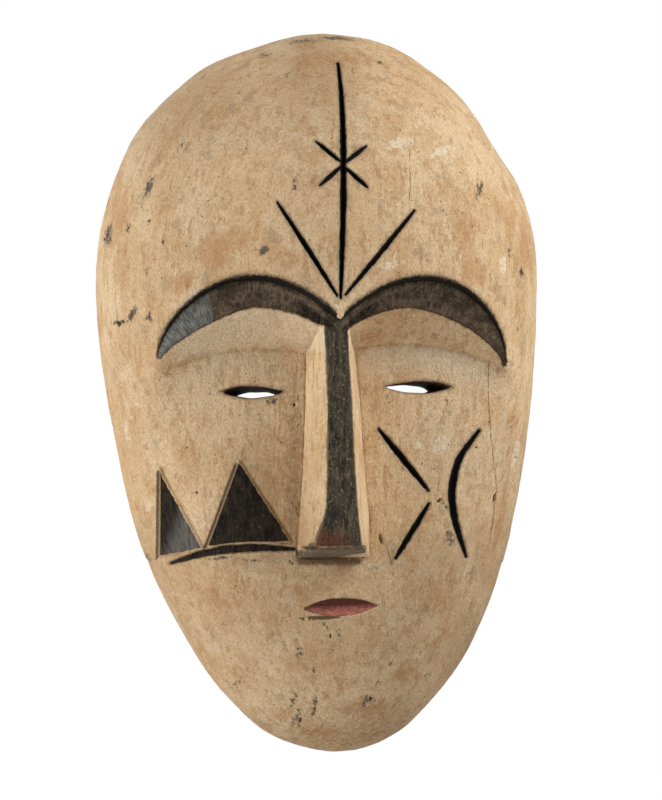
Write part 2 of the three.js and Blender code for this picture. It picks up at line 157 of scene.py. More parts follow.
def cuts(u, v, size, seed):
    """The squared distance to the nearest of scattered middles, as overlapping gouge cuts leave."""
    pu, pv = u / size, v / size
    cu, cv = np.floor(pu).astype(np.int64), np.floor(pv).astype(np.int64)
    nearest = np.full(pu.shape, 9.0)
    for du in (-1, 0, 1):
        for dv in (-1, 0, 1):
            mu = cu + du + 0.15 + 0.7 * random_at(cu + du, cv + dv, 1, seed)
            mv = cv + dv + 0.15 + 0.7 * random_at(cu + du, cv + dv, 2, seed)
            nearest = np.minimum(nearest, (pu - mu) ** 2 + (pv - mv) ** 2)
    return nearest


# ================= the carved front =================
def lean_at(z):
    below = np.maximum(0, (WIDEST_Z - z) / (WIDEST_Z - CHIN_Z))
    return CHIN_LEAN * below**2


def half_height(z):
    return np.where(z > WIDEST_Z, TOP_Z - WIDEST_Z, WIDEST_Z - CHIN_Z)


def share_out(x, z, inset=0):
    """0 on the dome's middle and 1 on its outline."""
    across = (x - lean_at(z)) / (HALF_WIDTH - inset)
    return np.hypot(across, (z - WIDEST_Z) / (half_height(z) - inset))


def dome_depth(x, z):
    height = FOREHEAD_DEPTH + (JAW_DEPTH - FOREHEAD_DEPTH) * smoothstep(JAW_FROM_Z, JAW_TO_Z, z)
    return height * np.sqrt(np.maximum(0, 1 - np.minimum(1, share_out(x, z)) ** DOME_POWER))


def arch_fall(share, power):
    inside = 1 - np.clip(share, 0, 1) ** power
    return 1 - inside ** (1 / power)


def brow_edge(x):
    across = np.abs(x)
    inner = BROW_INNER_DROP * (np.maximum(0, BROW_PEAK_X - across) / BROW_PEAK_X) ** 2.15
    outer = arch_fall((across - BROW_PEAK_X) / (BROW_END_X - BROW_PEAK_X), 1.8)
    return WIDEST_Z - inner - (WIDEST_Z - BROW_END_Z) * outer


def crescent_edge(x):
    """The lower edge of the brow's stained crescent."""
    across = np.abs(x)
    peak, end, end_z, power = (
        np.where(x > 0, right, left) for left, right in zip(CRESCENT_LEFT, CRESCENT_RIGHT, strict=True)
    )
    inner = CRESCENT_INNER_DROP * (np.maximum(0, peak - across) / peak) ** 2
    outer = arch_fall((across - peak) / (end - peak), power)
    return CRESCENT_PEAK_Z - inner - (CRESCENT_PEAK_Z - end_z) * outer


def crease_z(x):
    top = CREASE_Z - np.where(x < 0, CREASE_LEFT_DROP, 0)
    return top - CREASE_DROP * ((np.abs(x) - CREASE_X) / CREASE_REACH) ** 2


def bottom_recess(x):
    return FACE_BOTTOM_STEP * (1 - (x / FACE_HALF_WIDTH) ** 2)


def face_bottom_depth(x):
    middle = float(lean_at(FACE_BOTTOM_Z))
    held = np.clip(x, middle - FACE_SIDE, middle + FACE_SIDE)
    dome = dome_depth(held, FACE_BOTTOM_Z + 0 * x)
    return dome - FACE_SIDE_SLOPE * np.abs(x - held) - bottom_recess(x)


def face_depth(x, z):
    top = FACE_DEPTH - FACE_CROWN * (x / FACE_HALF_WIDTH) ** 2
    share = (crease_z(x) - z) / (crease_z(x) - FACE_BOTTOM_Z)
    ruled = top * (1 - share) + face_bottom_depth(x) * share
    left = np.maximum(0, 1 - (FACE_BOTTOM_Z - z) / FACE_FADE)
    return np.where(z < FACE_BOTTOM_Z, dome_depth(x, z) - bottom_recess(x) * left, ruled)


def under_brow_depth(x, z):
    """The slope under the brow, and below its crease the face."""
    top_z, low_z = brow_edge(x), np.minimum(crease_z(x), brow_edge(x) - 3)
    share = np.clip((top_z - z) / (top_z - low_z), 0, 1)
    step = BROW_STEP * (1 - np.minimum(1, np.abs(x) / BROW_END_X) ** 4)
    top = dome_depth(x, top_z) - step
    scoop = 0.32 * np.minimum(share, 0.45) / 0.45 + 0.68 * np.maximum(0, share - 0.45) / 0.55
    scoop = scoop + 0.04 * np.sin(np.pi * np.clip(share / 0.45, 0, 1))
    slope = top + (face_depth(x, low_z) - top) * scoop
    below = top_z - z
    undercut = 1.6 * step / BROW_STEP * np.exp(-(((below - 1.6) / 1.5) ** 2))
    face = face_depth(x, np.minimum(z, low_z))
    return np.where(z > low_z, soft_max(slope - undercut, face, 0.1), face)


def nose_depth(x, z):
    ridge, base, top, middle = (
        np.interp(z, NOSE_ZS, values) for values in (NOSE_RIDGES, NOSE_BASES, NOSE_DEPTHS, NOSE_MIDDLES)
    )
    off = np.abs(x - middle)
    flank = top - (top - FACE_DEPTH + 3) * (off - ridge) / (base - ridge)
    crown = top - 0.6 * (off / ridge) ** 2
    underside = top - (NOSE_TIP_Z - z) * NOSE_UNDERSIDE_SLOPE
    rounded = soft_min(soft_min(crown, flank, 1.6), underside, 2.5)
    return np.where(z > NOSE_ZS[-1] + 2, 0, rounded)


def carved_depth(x, z):
    """How far the wood stands in front of the rim's plane, before any line is cut."""
    dome = dome_depth(x, z)
    below = brow_edge(x) - z
    outer_cheek = smoothstep(52, 84, np.abs(x)) * smoothstep(-174, -196, z)
    under = soft_min(dome, under_brow_depth(x, z), 1.5 + 16 * outer_cheek)
    face = dome + (under - dome) * smoothstep(-0.2, 1.2, below)
    with_nose = soft_max(face, nose_depth(x, z), 1.2)
    return np.where(below > 0, with_nose, face)


def fold_away(x, z):
    """The distance to the nose's foot or to the crease under the brow."""
    foot = np.interp(z, NOSE_ZS, NOSE_BASES) + 0.8
    off = np.abs(np.abs(x - np.interp(z, NOSE_ZS, NOSE_MIDDLES)) - foot)
    nose = np.hypot(off, np.maximum(0, NOSE_TIP_Z - 6 - z)) + np.maximum(0, z + 150)
    return np.minimum(nose, np.abs(z - crease_z(x)) + np.maximum(0, np.abs(x) - 84))


# ================= cut lines and fields of pigment =================
def line_between(node, rises_right, more_below, more_above):
    """A straight cut's lower and upper ends, from its pigment's box, each moved on by some mm."""
    low, high = box_mm(node)
    xs = (low[0], high[0]) if rises_right else (high[0], low[0])
    below, above = np.array([xs[0], low[2]]), np.array([xs[1], high[2]])
    along = (above - below) / np.linalg.norm(above - below)
    return [tuple(below - along * more_below), tuple(above + along * more_above)]


def bend(points, steps=24):
    """A smooth line along given points."""
    points = np.array(points, float)
    at = np.linspace(0, len(points) - 1, steps)
    knots = np.arange(len(points))
    fine = [np.interp(at, knots, points[:, i]) for i in range(2)]
    for _ in range(4):
        fine = [np.concatenate([f[:1], (f[:-2] + 2 * f[1:-1] + f[2:]) / 4, f[-1:]]) for f in fine]
    return list(zip(*fine, strict=True))


CRESCENT_POINTS = ((81.5, -214), (69.6, -229), (65.8, -247), (68.3, -263), (76, -282.5))
BAND_POINTS = ((-83.5, -286.5), (-69, -280.5), (-54.5, -277.6), (-37.5, -276.8), (-20.5, -277.6))
STRAIGHT_LINES = (  # name, whether it rises to the right, mm more below and above, width and depth
    ("forehead_line", True, 1.3, 0, 3.2, LINE_DEPTH),
    ("forehead_ray_left", False, 3.2, 0, 2.5, 2.2),
    ("forehead_ray_right", True, 3.4, 0, 2.5, 1.8),
    ("forehead_cross_arm_upper_left", False, 2.6, 0, 2.2, 1.6),
    ("forehead_cross_arm_lower_left", True, 0, 2.6, 2.0, 1.2),
    ("forehead_cross_arm_upper_right", True, 2.8, 0, 2.0, 1.2),
    ("forehead_cross_arm_lower_right", False, 0, 2.8, 2.2, 1.6),
    ("cheek_stroke_upper", False, 0, 0, 3.0, LINE_DEPTH),
    ("cheek_stroke_lower", True, 0, 0, 3.0, LINE_DEPTH),
)
LINES = {  # each one's points, greatest width and depth
    f"{line}_pigment": (line_between(f"{line}_pigment", *ends), width, depth)
    for line, *ends, width, depth in STRAIGHT_LINES
}
LINES["cheek_crescent_pigment"] = (bend(CRESCENT_POINTS), 3.9, LINE_DEPTH)
LINES["cheek_band_pigment"] = (bend(BAND_POINTS), 4.4, 1.3)


def distance_along(x, z, points):
    """Each point's distance to a line, and its share of the way along it."""
    points = np.array(points, float)
    steps = np.diff(points, axis=0)
    lengths = np.hypot(*steps.T)
    total = lengths.sum()
    nearest = np.full(np.shape(x), 1e9)
    share = np.zeros(np.shape(x))
    done = 0.0
    for start, step, length in zip(points[:-1], steps, lengths, strict=True):
        t = np.clip(((x - start[0]) * step[0] + (z - start[1]) * step[1]) / length**2, 0, 1)
        away = np.hypot(x - start[0] - t * step[0], z - start[1] - t * step[1])
        closer = away < nearest
        nearest = np.where(closer, away, nearest)
        share = np.where(closer, (done + t * length) / total, share)
        done += length
    return nearest, share


def line_field(name, x, z):
    """How far outside a cut line's edge each point lies, and how deep the cut is there."""
    points, width, depth = LINES[name]
    away, share = distance_along(x, z, points)
    swell = 0.16 + 0.34 * np.sin(np.pi * np.clip(share, 0.02, 0.98)) ** 0.6
    half = width * swell * (1 + 0.13 * noise(x, 0 * x, z, 2.6, 57, 2))
    cut = depth * (swell / 0.5) * np.clip(1 - (away / half) ** 1.4, 0, 1)
    return away - half, cut


def polygon_field(corners, x, z):
    """How far outside a convex outline each point lies; its corners run anticlockwise."""
    outside = np.full(np.shape(x), -1e9)
    for (x0, z0), (x1, z1) in zip(corners, corners[1:] + corners[:1], strict=True):
        length = math.hypot(x1 - x0, z1 - z0)
        outside = np.maximum(outside, ((x - x0) * (z1 - z0) - (z - z0) * (x1 - x0)) / length)
    return outside


def band_z(x):
    xs, zs = zip(*bend(BAND_POINTS), strict=True)
    return np.interp(x, xs, zs)


def triangle_corners(name):
    low, high = box_mm(name)
    right = high[0] + 0.7
    if "small" in name:
        apex, foot = (low[0] - 0.9, high[2] + 1), (low[0] + 0.4, low[2])
        return [apex, foot, (right, band_z(high[0]) + 3.4)]
    apex = (low[0] + 0.36 * (high[0] - low[0]), high[2] + 1.2)
    return [apex, (low[0] - 0.7, band_z(low[0]) + 3.6), (right, band_z(high[0]) + 4.2)]


TRIANGLE_NODES = ("cheek_triangle_small_pigment", "cheek_triangle_large_pigment")
TRIANGLES = {name: triangle_corners(name) for name in TRIANGLE_NODES}


def triangle_field(name, x, z):
    """Outside distance to a raised triangle, whose foot follows the band's curve."""
    sides = polygon_field(TRIANGLES[name], x, z)
    return np.maximum(sides, band_z(x) + 3.2 - z)


def above_edge(edge, x, z):
    """The distance above a curved edge, square to its slope."""
    return (z - edge(x)) / np.hypot(1, edge(x + 0.5) - edge(x - 0.5))


def brow_field(side, x, z):
    """Outside distance to one brow's crescent."""
    over, under = above_edge(brow_edge, x, z), -above_edge(crescent_edge, x, z)
    return np.maximum.reduce([over, under, 2 - side * x, side * x - BROW_END_X - 0.3])


def nose_ridge_field(x, z):
    half = np.interp(z, NOSE_ZS, NOSE_RIDGES) - 0.2
    middle = np.interp(z, NOSE_ZS, NOSE_MIDDLES)
    spread = NOSE_STAIN_SPREAD * smoothstep(NOSE_TIP_Z + 26, NOSE_TIP_Z + 4, z) * (x < middle)
    off = np.abs(x - middle) - half - spread
    return np.maximum(off, np.maximum(z - brow_edge(x) + 0.3, NOSE_TIP_Z + 1.5 - z))


def nose_underside_field(x, z):
    """The underside's stain, which runs up round the tip."""
    across = (x - TIP_STAIN_X) / TIP_STAIN_HALF
    tilted = z - NOSE_TIP_Z - TIP_STAIN_TILT * (x - TIP_STAIN_X)
    over = tilted - 0.5 + 1.2 * across**2
    under = -5.8 + 2.2 * across**2 - tilted
    return np.maximum(TIP_STAIN_HALF * (np.abs(across) - 1), np.maximum(over, under))


def almond_bow(across, height):
    """An almond shape's half height, where across is 0 in its middle and 1 at its ends."""
    return height / 2 * (1 - np.clip(np.abs(across), 0, 1) ** 2.2) ** 1.1


def slit_field(name, x, z):
    """Outside distance to an eye slit, whose upper edge falls towards the nose."""
    middle_x, middle_z, length = EYES[name]
    across = (x - middle_x) / (length / 2)
    to_nose = np.clip(0.5 - 0.5 * across * math.copysign(1, middle_x), 0, 1)
    bow = almond_bow(across, EYE_HEIGHT)
    upper = z - middle_z - bow * (1 - EYE_LID_FALL * to_nose**2)
    return np.maximum(np.maximum(upper, middle_z - z - bow), np.abs(x - middle_x) - length / 2)


def slits_away(x, z):
    return np.minimum(*(slit_field(name, x, z) for name in EYES))


def mouth_field(x, z):
    off = x - MOUTH_X
    fuller = 0.7 * smoothstep(4, -14, off)
    bow = almond_bow(off / (MOUTH_LENGTH / 2), MOUTH_HEIGHT)
    away = np.abs(z - MOUTH_Z - 0.8 - MOUTH_TILT * off) - bow
    return np.maximum(away, np.abs(off) - MOUTH_LENGTH / 2) - fuller


FIELDS = {name: (lambda x, z, n=name: line_field(n, x, z)[0]) for name in LINES}
FIELDS |= {name: (lambda x, z, n=name: triangle_field(n, x, z)) for name in TRIANGLES}
FIELDS["brow_left_pigment"] = lambda x, z: brow_field(-1, x, z)
FIELDS["brow_right_pigment"] = lambda x, z: brow_field(1, x, z)
FIELDS["nose_ridge_pigment"] = nose_ridge_field
FIELDS["nose_underside_pigment"] = nose_underside_field
FIELDS["mouth_pigment"] = mouth_field


def near(node, x, z, margin):
    """Where a field's own box, with a margin, holds the point."""
    low, high = box_mm(node)
    inside_x = (x > low[0] - margin) & (x < high[0] + margin)
    return inside_x & (z > low[2] - margin) & (z < high[2] + margin)


def field_everywhere(name, x, z, margin=9):
    """A field's outside distance, worked out only near it."""
    away = np.full(np.shape(x), float(margin))
    here = near(name, x, z, margin)
    away[here] = np.minimum(margin, FIELDS[name](x[here], z[here]))
    return away


def cut_depth(x, z):
    """How deep the knife and the gouge went below carved_depth, and below 0 where wood stands up."""
    cut = np.zeros(np.shape(x))
    for name in LINES:
        here = near(name, x, z, 6)
        cut[here] = np.maximum(cut[here], line_field(name, x[here], z[here])[1])
    band = field_everywhere("cheek_band_pigment", x, z)
    cut -= 0.55 * np.exp(-(((band - 0.8) / 0.5) ** 2))
    for name in TRIANGLES:
        away = field_everywhere(name, x, z)
        rise = TRIANGLE_RISE * smoothstep(0.6, -0.1, away)
        ditch = 0.4 * np.exp(-(((away - 0.95) / 0.6) ** 2))
        cut += ditch - rise
    here = near("mouth_pigment", x, z, 4)
    away = mouth_field(x[here], z[here])
    cut[here] = np.maximum(cut[here], MOUTH_DEPTH * np.clip(-away / (MOUTH_HEIGHT / 2), 0, 1) ** 0.8)
    return cut


# Flats and swellings of the outline: bearing and reach in degrees, and depth as a share.
DENTS = (
    (35, 11, 0.033),
    (53, 7, 0.006),
    (74, 9, -0.009),
    (107, 9, 0.014),
    (144, 8, -0.011),
    (200, 11, 0.018),
    (249, 12, -0.007),
    (318, 15, -0.015),
)


def outline_dent(x, z):
    """How much of its distance from the middle the blade took off at each bearing."""
    across, up = (x - lean_at(z)) / HALF_WIDTH, (z - WIDEST_Z) / half_height(z)
    bearing = np.degrees(np.arctan2(up, across)) % 360
    dent = 0.002 * noise(across * 6, up * 6, 0 * x, 1, 91, 2)
    for middle, reach, depth in DENTS:
        dent = dent + depth * np.exp(-(((bearing - middle) / reach) ** 2))
    return dent


def hand_shaped(points):
    """The points moved as the uneven outline asks, most at the rim and hardly at all inside."""
    x, y, z = points[..., 0], points[..., 1], points[..., 2]
    scale = 1 - outline_dent(x, z) * np.minimum(1.1, share_out(x, z)) ** 6
    lean = lean_at(z)
    return np.stack([lean + (x - lean) * scale, y, WIDEST_Z + (z - WIDEST_Z) * scale], axis=-1)


# ================= positions on the front =================
def front_points(x, z):
    """Points on the carved front and the outward direction there."""
    reach = 0.5
    slope_x = (carved_depth(x + reach, z) - carved_depth(x - reach, z)) / (2 * reach)
    slope_z = (carved_depth(x, z + reach) - carved_depth(x, z - reach)) / (2 * reach)
    outward = np.stack([-slope_x, -np.ones_like(x), -slope_z], axis=-1)
    outward /= np.linalg.norm(outward, axis=-1, keepdims=True)
    points = np.stack([x, -carved_depth(x, z), z], axis=-1)
    return points, outward


def hand_relief(points):
    """What the carver's blade left on the dome: faint flats, waves and long grain."""
    x, y, z = points[..., 0], points[..., 1], points[..., 2]
    flats = cuts(x + 0.25 * z, z * 0.6 + y * 0.5, 21, 5) - 0.25
    waves = noise(x, y, z, 34, 11, 2)
    grain = noise(x, y, z, (1.7, 3, 34), 23, 2)
    return 0.34 * flats + 0.3 * waves + 0.05 * grain


# ================= meshes =================
def make_mesh(name, points, faces, smooth=True):
    mesh = bpy.data.meshes.new(name)
    mesh.from_pydata((np.asarray(points).reshape(-1, 3) * MM).tolist(), [], faces)
    mesh.update()
    mesh.polygons.foreach_set("use_smooth", [smooth] * len(mesh.polygons))
    piece = bpy.data.objects.new(name, mesh)
    bpy.context.collection.objects.link(piece)
    return piece


def grid_quads(rows, columns, first=0, flipped=False):
    """The faces of a grid of points laid out row by row."""
    at = first + np.arange(rows * columns).reshape(rows, columns)
    quads = np.stack([at[:-1, :-1], at[:-1, 1:], at[1:, 1:], at[1:, :-1]], axis=-1).reshape(-1, 4)
    return quads[:, ::-1] if flipped else quads


def edge_loop(rows, columns, first=0):
    """The points round a grid's edge, in order."""
    at = first + np.arange(rows * columns).reshape(rows, columns)
    return np.concatenate([at[0, :-1], at[:-1, -1], at[-1, :0:-1], at[:0:-1, 0]])


def join_loops(fine, coarse):
    """Triangles between two loops, where each step of the coarse one spans whole fine steps."""
    ratio = len(fine) // len(coarse)
    nearest = np.repeat(coarse, ratio)
    fans = np.stack([fine, nearest, np.roll(fine, -1)], axis=-1)
    gaps = np.stack([np.roll(fine, -ratio)[::ratio], coarse, np.roll(coarse, -1)], axis=-1)
    return np.concatenate([fans, gaps])


def closed_shell(name, front, back):
    """One closed mesh of a front grid and a back grid, which may be coarser."""
    rows, columns = front.shape[:2]
    few_rows, few_columns = back.shape[:2]
    first = rows * columns
    faces = grid_quads(rows, columns).tolist()
    faces += grid_quads(few_rows, few_columns, first, flipped=True).tolist()
    faces += join_loops(edge_loop(rows, columns), edge_loop(few_rows, few_columns, first)).tolist()
    points = np.concatenate([front.reshape(-1, 3), back.reshape(-1, 3)])
    return make_mesh(name, hand_shaped(points), faces)


def disc_grid(columns, rows):
    """A square grid of points folded onto a disc: each one's radius, cosine and sine."""
    a, b = np.meshgrid(np.linspace(-1, 1, columns), np.linspace(-1, 1, rows))
    a, b = a + 1e-9, b + 2e-9
    wide = np.abs(a) > np.abs(b)
    signed = np.where(wide, a, b)
    angle = np.where(wide, math.pi / 4 * b / a, math.pi / 2 - math.pi / 4 * a / b)
    across, up = signed * np.cos(angle), signed * np.sin(angle)
    radius = np.minimum(1, np.abs(signed))
    return radius, across / np.abs(signed), up / np.abs(signed)


def outline_grid(columns, rows, inset=0):
    """The disc's grid spread over the mask's outline, and its share of the way out."""
    radius, cosine, sine = disc_grid(columns, rows)
    share = np.sin(math.pi / 2 * radius) ** GRID_POWER
    half = np.where(sine > 0, TOP_Z - WIDEST_Z, WIDEST_Z - CHIN_Z) - inset
    z = WIDEST_Z + share * half * sine
    x = lean_at(z) + share * (HALF_WIDTH - inset) * cosine
    return x, z, share


def grid_size(number, ratio=1):
    """A number of grid lines whose gaps divide into whole coarse gaps."""
    return ratio * int(number * FINENESS / ratio) + 1


def apply_modifiers(piece):
    depsgraph = bpy.context.evaluated_depsgraph_get()
    mesh = bpy.data.meshes.new_from_object(piece.evaluated_get(depsgraph))
    piece.modifiers.clear()
    old, piece.data = piece.data, mesh
    bpy.data.meshes.remove(old)
    mesh.name = piece.name


def thin_out(piece, most):
    """Fewer triangles, taken first from where the surface is plain."""
    triangles = sum(len(p.vertices) - 2 for p in piece.data.polygons)
    if triangles > most:
        piece.modifiers.new("thin", "DECIMATE").ratio = most / triangles
        apply_modifiers(piece)
    piece.data.polygons.foreach_set("use_smooth", [True] * len(piece.data.polygons))


def coordinates(piece):
    """A mesh's points as x, y and z in millimetres."""
    flat = np.empty(3 * len(piece.data.vertices))
    piece.data.vertices.foreach_get("co", flat)
    return (flat.reshape(-1, 3) / MM).T


def paint(piece, name, values):
    """Stores one number for each point, for the material to read."""
    layer = piece.data.attributes.new(name, "FLOAT", "POINT")
    layer.data.foreach_set("value", np.broadcast_to(values, len(piece.data.vertices)).astype(np.float32))


# ---- what goes through the wall ----
def eye_cutter(name, growth):
    """A slit that is long and flat at the front, and shorter and lower on the inside."""
    middle_x, middle_z, length = EYES[name]
    inward = -math.copysign(1, middle_x)
    passage, shift_in, drop = EYE_PASSAGES[name]
    stations = (  # depth, share of the length, fall, shift towards the nose, and fall of the lid
        (FACE_DEPTH + 6, 1.0, -0.6, 0, EYE_LID_FALL),
        (FACE_DEPTH - 4, 0.92, 0.2, 0.6, EYE_LID_FALL),
        (FACE_DEPTH - 17, passage, drop, shift_in, 0.2),
        (FACE_DEPTH - 34, passage - 0.08, drop + 1.8, shift_in + 0.5, 0.2),
    )
    steps = 48
    points = []
    for depth, share, fall, shift, lid_fall in stations:
        for i in range(steps):
            angle = 2 * math.pi * i / steps
            bow = math.copysign(abs(math.sin(angle)) ** 1.35, math.sin(angle))
            if bow > 0:
                bow *= 1 - lid_fall * (0.5 + 0.5 * inward * math.cos(angle)) ** 2
            wobble = 0.25 * math.sin(3 * angle + depth) + 0.15 * math.sin(7 * angle + middle_x)
            x = middle_x + inward * shift + (length / 2 * share + growth) * math.cos(angle)
            z = middle_z - fall + (EYE_HEIGHT / 2 * min(1, share + 0.2) + growth + wobble) * bow
            points.append((x, -depth, z))
    last = steps * (len(stations) - 1)
    faces = [tuple(range(steps)), tuple(range(last + steps - 1, last - 1, -1))]
    for ring in range(len(stations) - 1):
        for i in range(steps):
            a, b = ring * steps + i, ring * steps + (i + 1) % steps
            faces.append((a, a + steps, b + steps, b))
    return make_mesh(f"{name}_slit", points, faces, smooth=False)


def tie_hole_cutters():
    """Rods along X as wide as the CAD's holes."""
    sides, reach = 24, 40
    turns = np.linspace(0, 2 * math.pi, sides + 1)[:-1]
    ring = [(TIE_HOLE_RADIUS * math.cos(a), TIE_HOLE_RADIUS * math.sin(a)) for a in turns]
    faces = [tuple(range(sides - 1, -1, -1)), tuple(range(sides, 2 * sides))]
    faces += [(i, (i + 1) % sides, (i + 1) % sides + sides, i + sides) for i in range(sides)]
    cutters = []
    for z in TIE_HOLE_ZS:
        for side in (-1, 1):
            middle = float(lean_at(z)) + side * (HALF_WIDTH - TIE_HOLE_INSET)
            points = [(middle + e, c - TIE_HOLE_DEPTH, z + s) for e in (-reach, reach) for c, s in ring]
            cutters.append(make_mesh(f"hole_{z}_{side}", points, faces, smooth=False))
    return cutters


def open_holes(piece, growth):
    """Cuts the eye slits, made larger by growth, and the tie holes through a piece."""
    cutters = [eye_cutter(name, growth) for name in EYES] + tie_hole_cutters()
    for cutter in cutters:
        knife = piece.modifiers.new("cut", "BOOLEAN")
        knife.object = cutter
        knife.operation = "DIFFERENCE"
        knife.solver = "MANIFOLD"
    apply_modifiers(piece)
    for cutter in cutters:
        mesh = cutter.data
        bpy.data.objects.remove(cutter)
        bpy.data.meshes.remove(mesh)


# ---- the wood ----
def hollow_depth(z, share):
    forehead, face = FOREHEAD_DEPTH - WALL - 2, FACE_DEPTH - WALL - 3
    height = forehead + (face - forehead) * smoothstep(-100, -162, z)
    return height * np.sqrt(np.maximum(0, 1 - share**DOME_POWER))


def make_wood():
    columns, rows = (grid_size(number) for number in WOOD_GRID)
    x, z, share = outline_grid(columns, rows)
    points, outward = front_points(x, z)
    pocket, groove = fold_away(x, z) + 0.6, np.full(x.shape, 9.0)
    for name in FIELDS:
        away = field_everywhere(name, x, z)
        pocket = np.minimum(pocket, away)
        if name in LINES:
            groove = np.minimum(groove, away)
    sunk = cut_depth(x, z) + 1.3 * smoothstep(3.2, 1.6, pocket)
    carved = np.maximum(sunk, 4.2 * smoothstep(2.6, 1.2, groove))
    shaved = 1.1 * smoothstep(3.0, 0.0, -points[..., 1])
    level = hand_relief(points) * smoothstep(0, 8, -points[..., 1]) - carved - shaved
    front = points + outward * level[..., None]
    front[..., 1] = np.minimum(0, front[..., 1])

    x, z, share = outline_grid(columns, rows, WALL)
    depth = hollow_depth(z, np.minimum(1, share))
    scoops = cuts(x * 1.05, z * 0.62 + depth * 0.5, 15, 3)
    rough = noise(x, depth, z, 5, 31, 3)
    depth = depth - (1.9 * scoops - 0.7 + 0.22 * rough) * smoothstep(0, 10, depth)
    lean = lean_at(z)
    wider = 1 + 1.2 * smoothstep(2.5, 0, depth) / HALF_WIDTH
    hollow = np.stack([lean + (x - lean) * wider, -np.maximum(0, depth), z], axis=-1)

    piece = closed_shell("wood", front, hollow)
    open_holes(piece, 0)
    thin_out(piece, WOOD_TRIANGLES)
    shade_rim_flat(piece)
    return piece


def shade_rim_flat(piece):
    """Keeps the walls' slopes out of the flat back rim's shading."""
    for face in piece.data.polygons:
        if face.normal.y > 0.9 and face.center.y > -1 * MM:
            face.use_smooth = False


# ---- the clay ----
# Places where the clay has flaked: middle x and z, half length, half width, turn in degrees, and
# how much of it is gone.
CHIPS = (
    (-118, -107, 5, 2, 85, 0.8),
    (-114, -156, 5, 2.4, 20, 0.9),
    (-101, -154, 4, 1.6, 70, 0.8),
    (-99, -101, 3, 2, 60, 0.6),
    (106, -227, 6, 1.8, 75, 0.7),
    (59, -252, 3, 1.4, 40, 1.1),
    (63, -255, 2.6, 1.1, -50, 1.1),
    (26, -272, 1.2, 5, 12, 0.9),
    (37, -290, 3, 1.6, 30, 0.8),
    (-73, -247, 3, 2.6, 20, 0.7),
    (-16, -335, 5, 4, 80, 0.8),
    (23, -362, 4.5, 2, 50, 0.9),
    (-13, -374, 5, 1.6, 75, 0.9),
    (57, -349, 4.5, 2, 50, 0.8),
    (0, -325, 2.2, 1.6, 80, 0.9),
    (-46, -352, 5, 3, 50, 0.6),
    (-9, -1, 8, 3, 10, 0.9),
    (6, 2, 8, 2, 0, 0.8),
    (-33, -9, 4, 1.6, 30, 0.6),
    (-16, -279, 4, 4.5, 0, 0.95),
    (-15, -292, 3, 3, 0, 0.8),
    (-22, -285, 2.4, 2, 0, 0.9),
    (80, -223, 1.7, 1.4, 60, 1.3),
    (-3, -147, 5, 2.4, 20, 0.7),
    (-20, -200, 1.8, 1.4, 0, 0.8),
    (92, -248, 3, 9, 10, 0.7),
    (79, -82, 2, 12, 8, 0.5),
)


def spot(x, z, middle_x, middle_z, half_length, half_width, turn):
    """0 in an ellipse's middle and 1 on its edge."""
    c, s = math.cos(math.radians(turn)), math.sin(math.radians(turn))
    dx, dz = x - middle_x, z - middle_z
    return np.hypot((dx * c + dz * s) / half_length, (dz * c - dx * s) / half_width)


def clay_thickness(x, z, points):
    y = points[..., 1]
    ragged = noise(x, y, z, 2.6, 41, 2)
    thick = CLAY + 0.14 * noise(x, y, z, 12, 42, 2) + 0.07 * noise(x, y, z, 3, 43, 2)
    for name in FIELDS:
        rough = 0.5 if name.startswith("brow") else 0.25
        away = field_everywhere(name, x, z) + rough * ragged
        if name in TRIANGLES:
            away = away + TRIANGLE_EDGE
        burr = 0.0 if name.startswith("brow") else 0.2
        steep = 1.5 if name in LINES else 0.9
        thick = thick + burr * np.exp(-(((away - 1) / 0.5) ** 2))
        thick = soft_min(thick, 0.2 + steep * away, 0.2)
    flakes = noise(x, y, z, 2.1, 46, 3)
    for middle_x, middle_z, half_length, half_width, turn, gone in CHIPS:
        inside = np.exp(-(spot(x, z, middle_x, middle_z, half_length, half_width, turn) ** 2))
        thick = thick - 1.0 * smoothstep(0.62, 0.92, inside * gone * 0.9 + 0.42 * flakes)
    pits = noise(x, y, z, 3.1, 47, 1) + 0.5 * noise(x, y, z, 1.4, 48, 1)
    thick = thick - 0.35 * smoothstep(0.9, 1.2, pits)
    rim = 0.35 * (-y - 4.5 - 1.5 * noise(x, y, z, 9, 49, 3))
    return np.clip(np.minimum(thick, rim), 2 * BURIED, 1.2)


def make_clay():
    ratio = 4
    columns, rows = (grid_size(number, ratio) for number in CLAY_GRID)
    x, z, _ = outline_grid(columns, rows)
    points, outward = front_points(x, z)
    level = hand_relief(points) * smoothstep(0, 8, -points[..., 1]) - cut_depth(x, z)
    top = points + outward * (level + clay_thickness(x, z, points))[..., None]
    top[..., 1] = np.minimum(CLAY_RIM_Y, top[..., 1])
    # The underside is coarser. It lies behind the deepest point nearby, so it stays in the wood.
    behind, inward = 1.8, 1.6
    least = points[..., 1] - np.minimum(0, level)
    for axis in (0, 1):
        for step in (-ratio, -ratio // 2, ratio // 2, ratio):
            least = np.maximum(least, np.roll(least, step, axis))
    under = points[::ratio, ::ratio].copy()
    under[..., 1] = np.minimum(CLAY_RIM_Y, least[::ratio, ::ratio] + behind)
    under[..., 0] -= outward[::ratio, ::ratio, 0] * inward
    under[..., 2] -= outward[::ratio, ::ratio, 2] * inward

    piece = closed_shell("clay_skin", top, under)
    open_holes(piece, SLIT_IN_CLAY)
    thin_out(piece, CLAY_TRIANGLES)
    return piece


# ---- the pigments ----
STAIN = 0.32  # a layer's thickness, except on the brows
BROW_STAINS = {"brow_left_pigment": 0.38, "brow_right_pigment": 0.44}
PAST_EDGE = 1.9  # how far a layer runs on past its field's edge, under the clay
FOOT = 2.4  # how deep in the wood a layer's underside lies


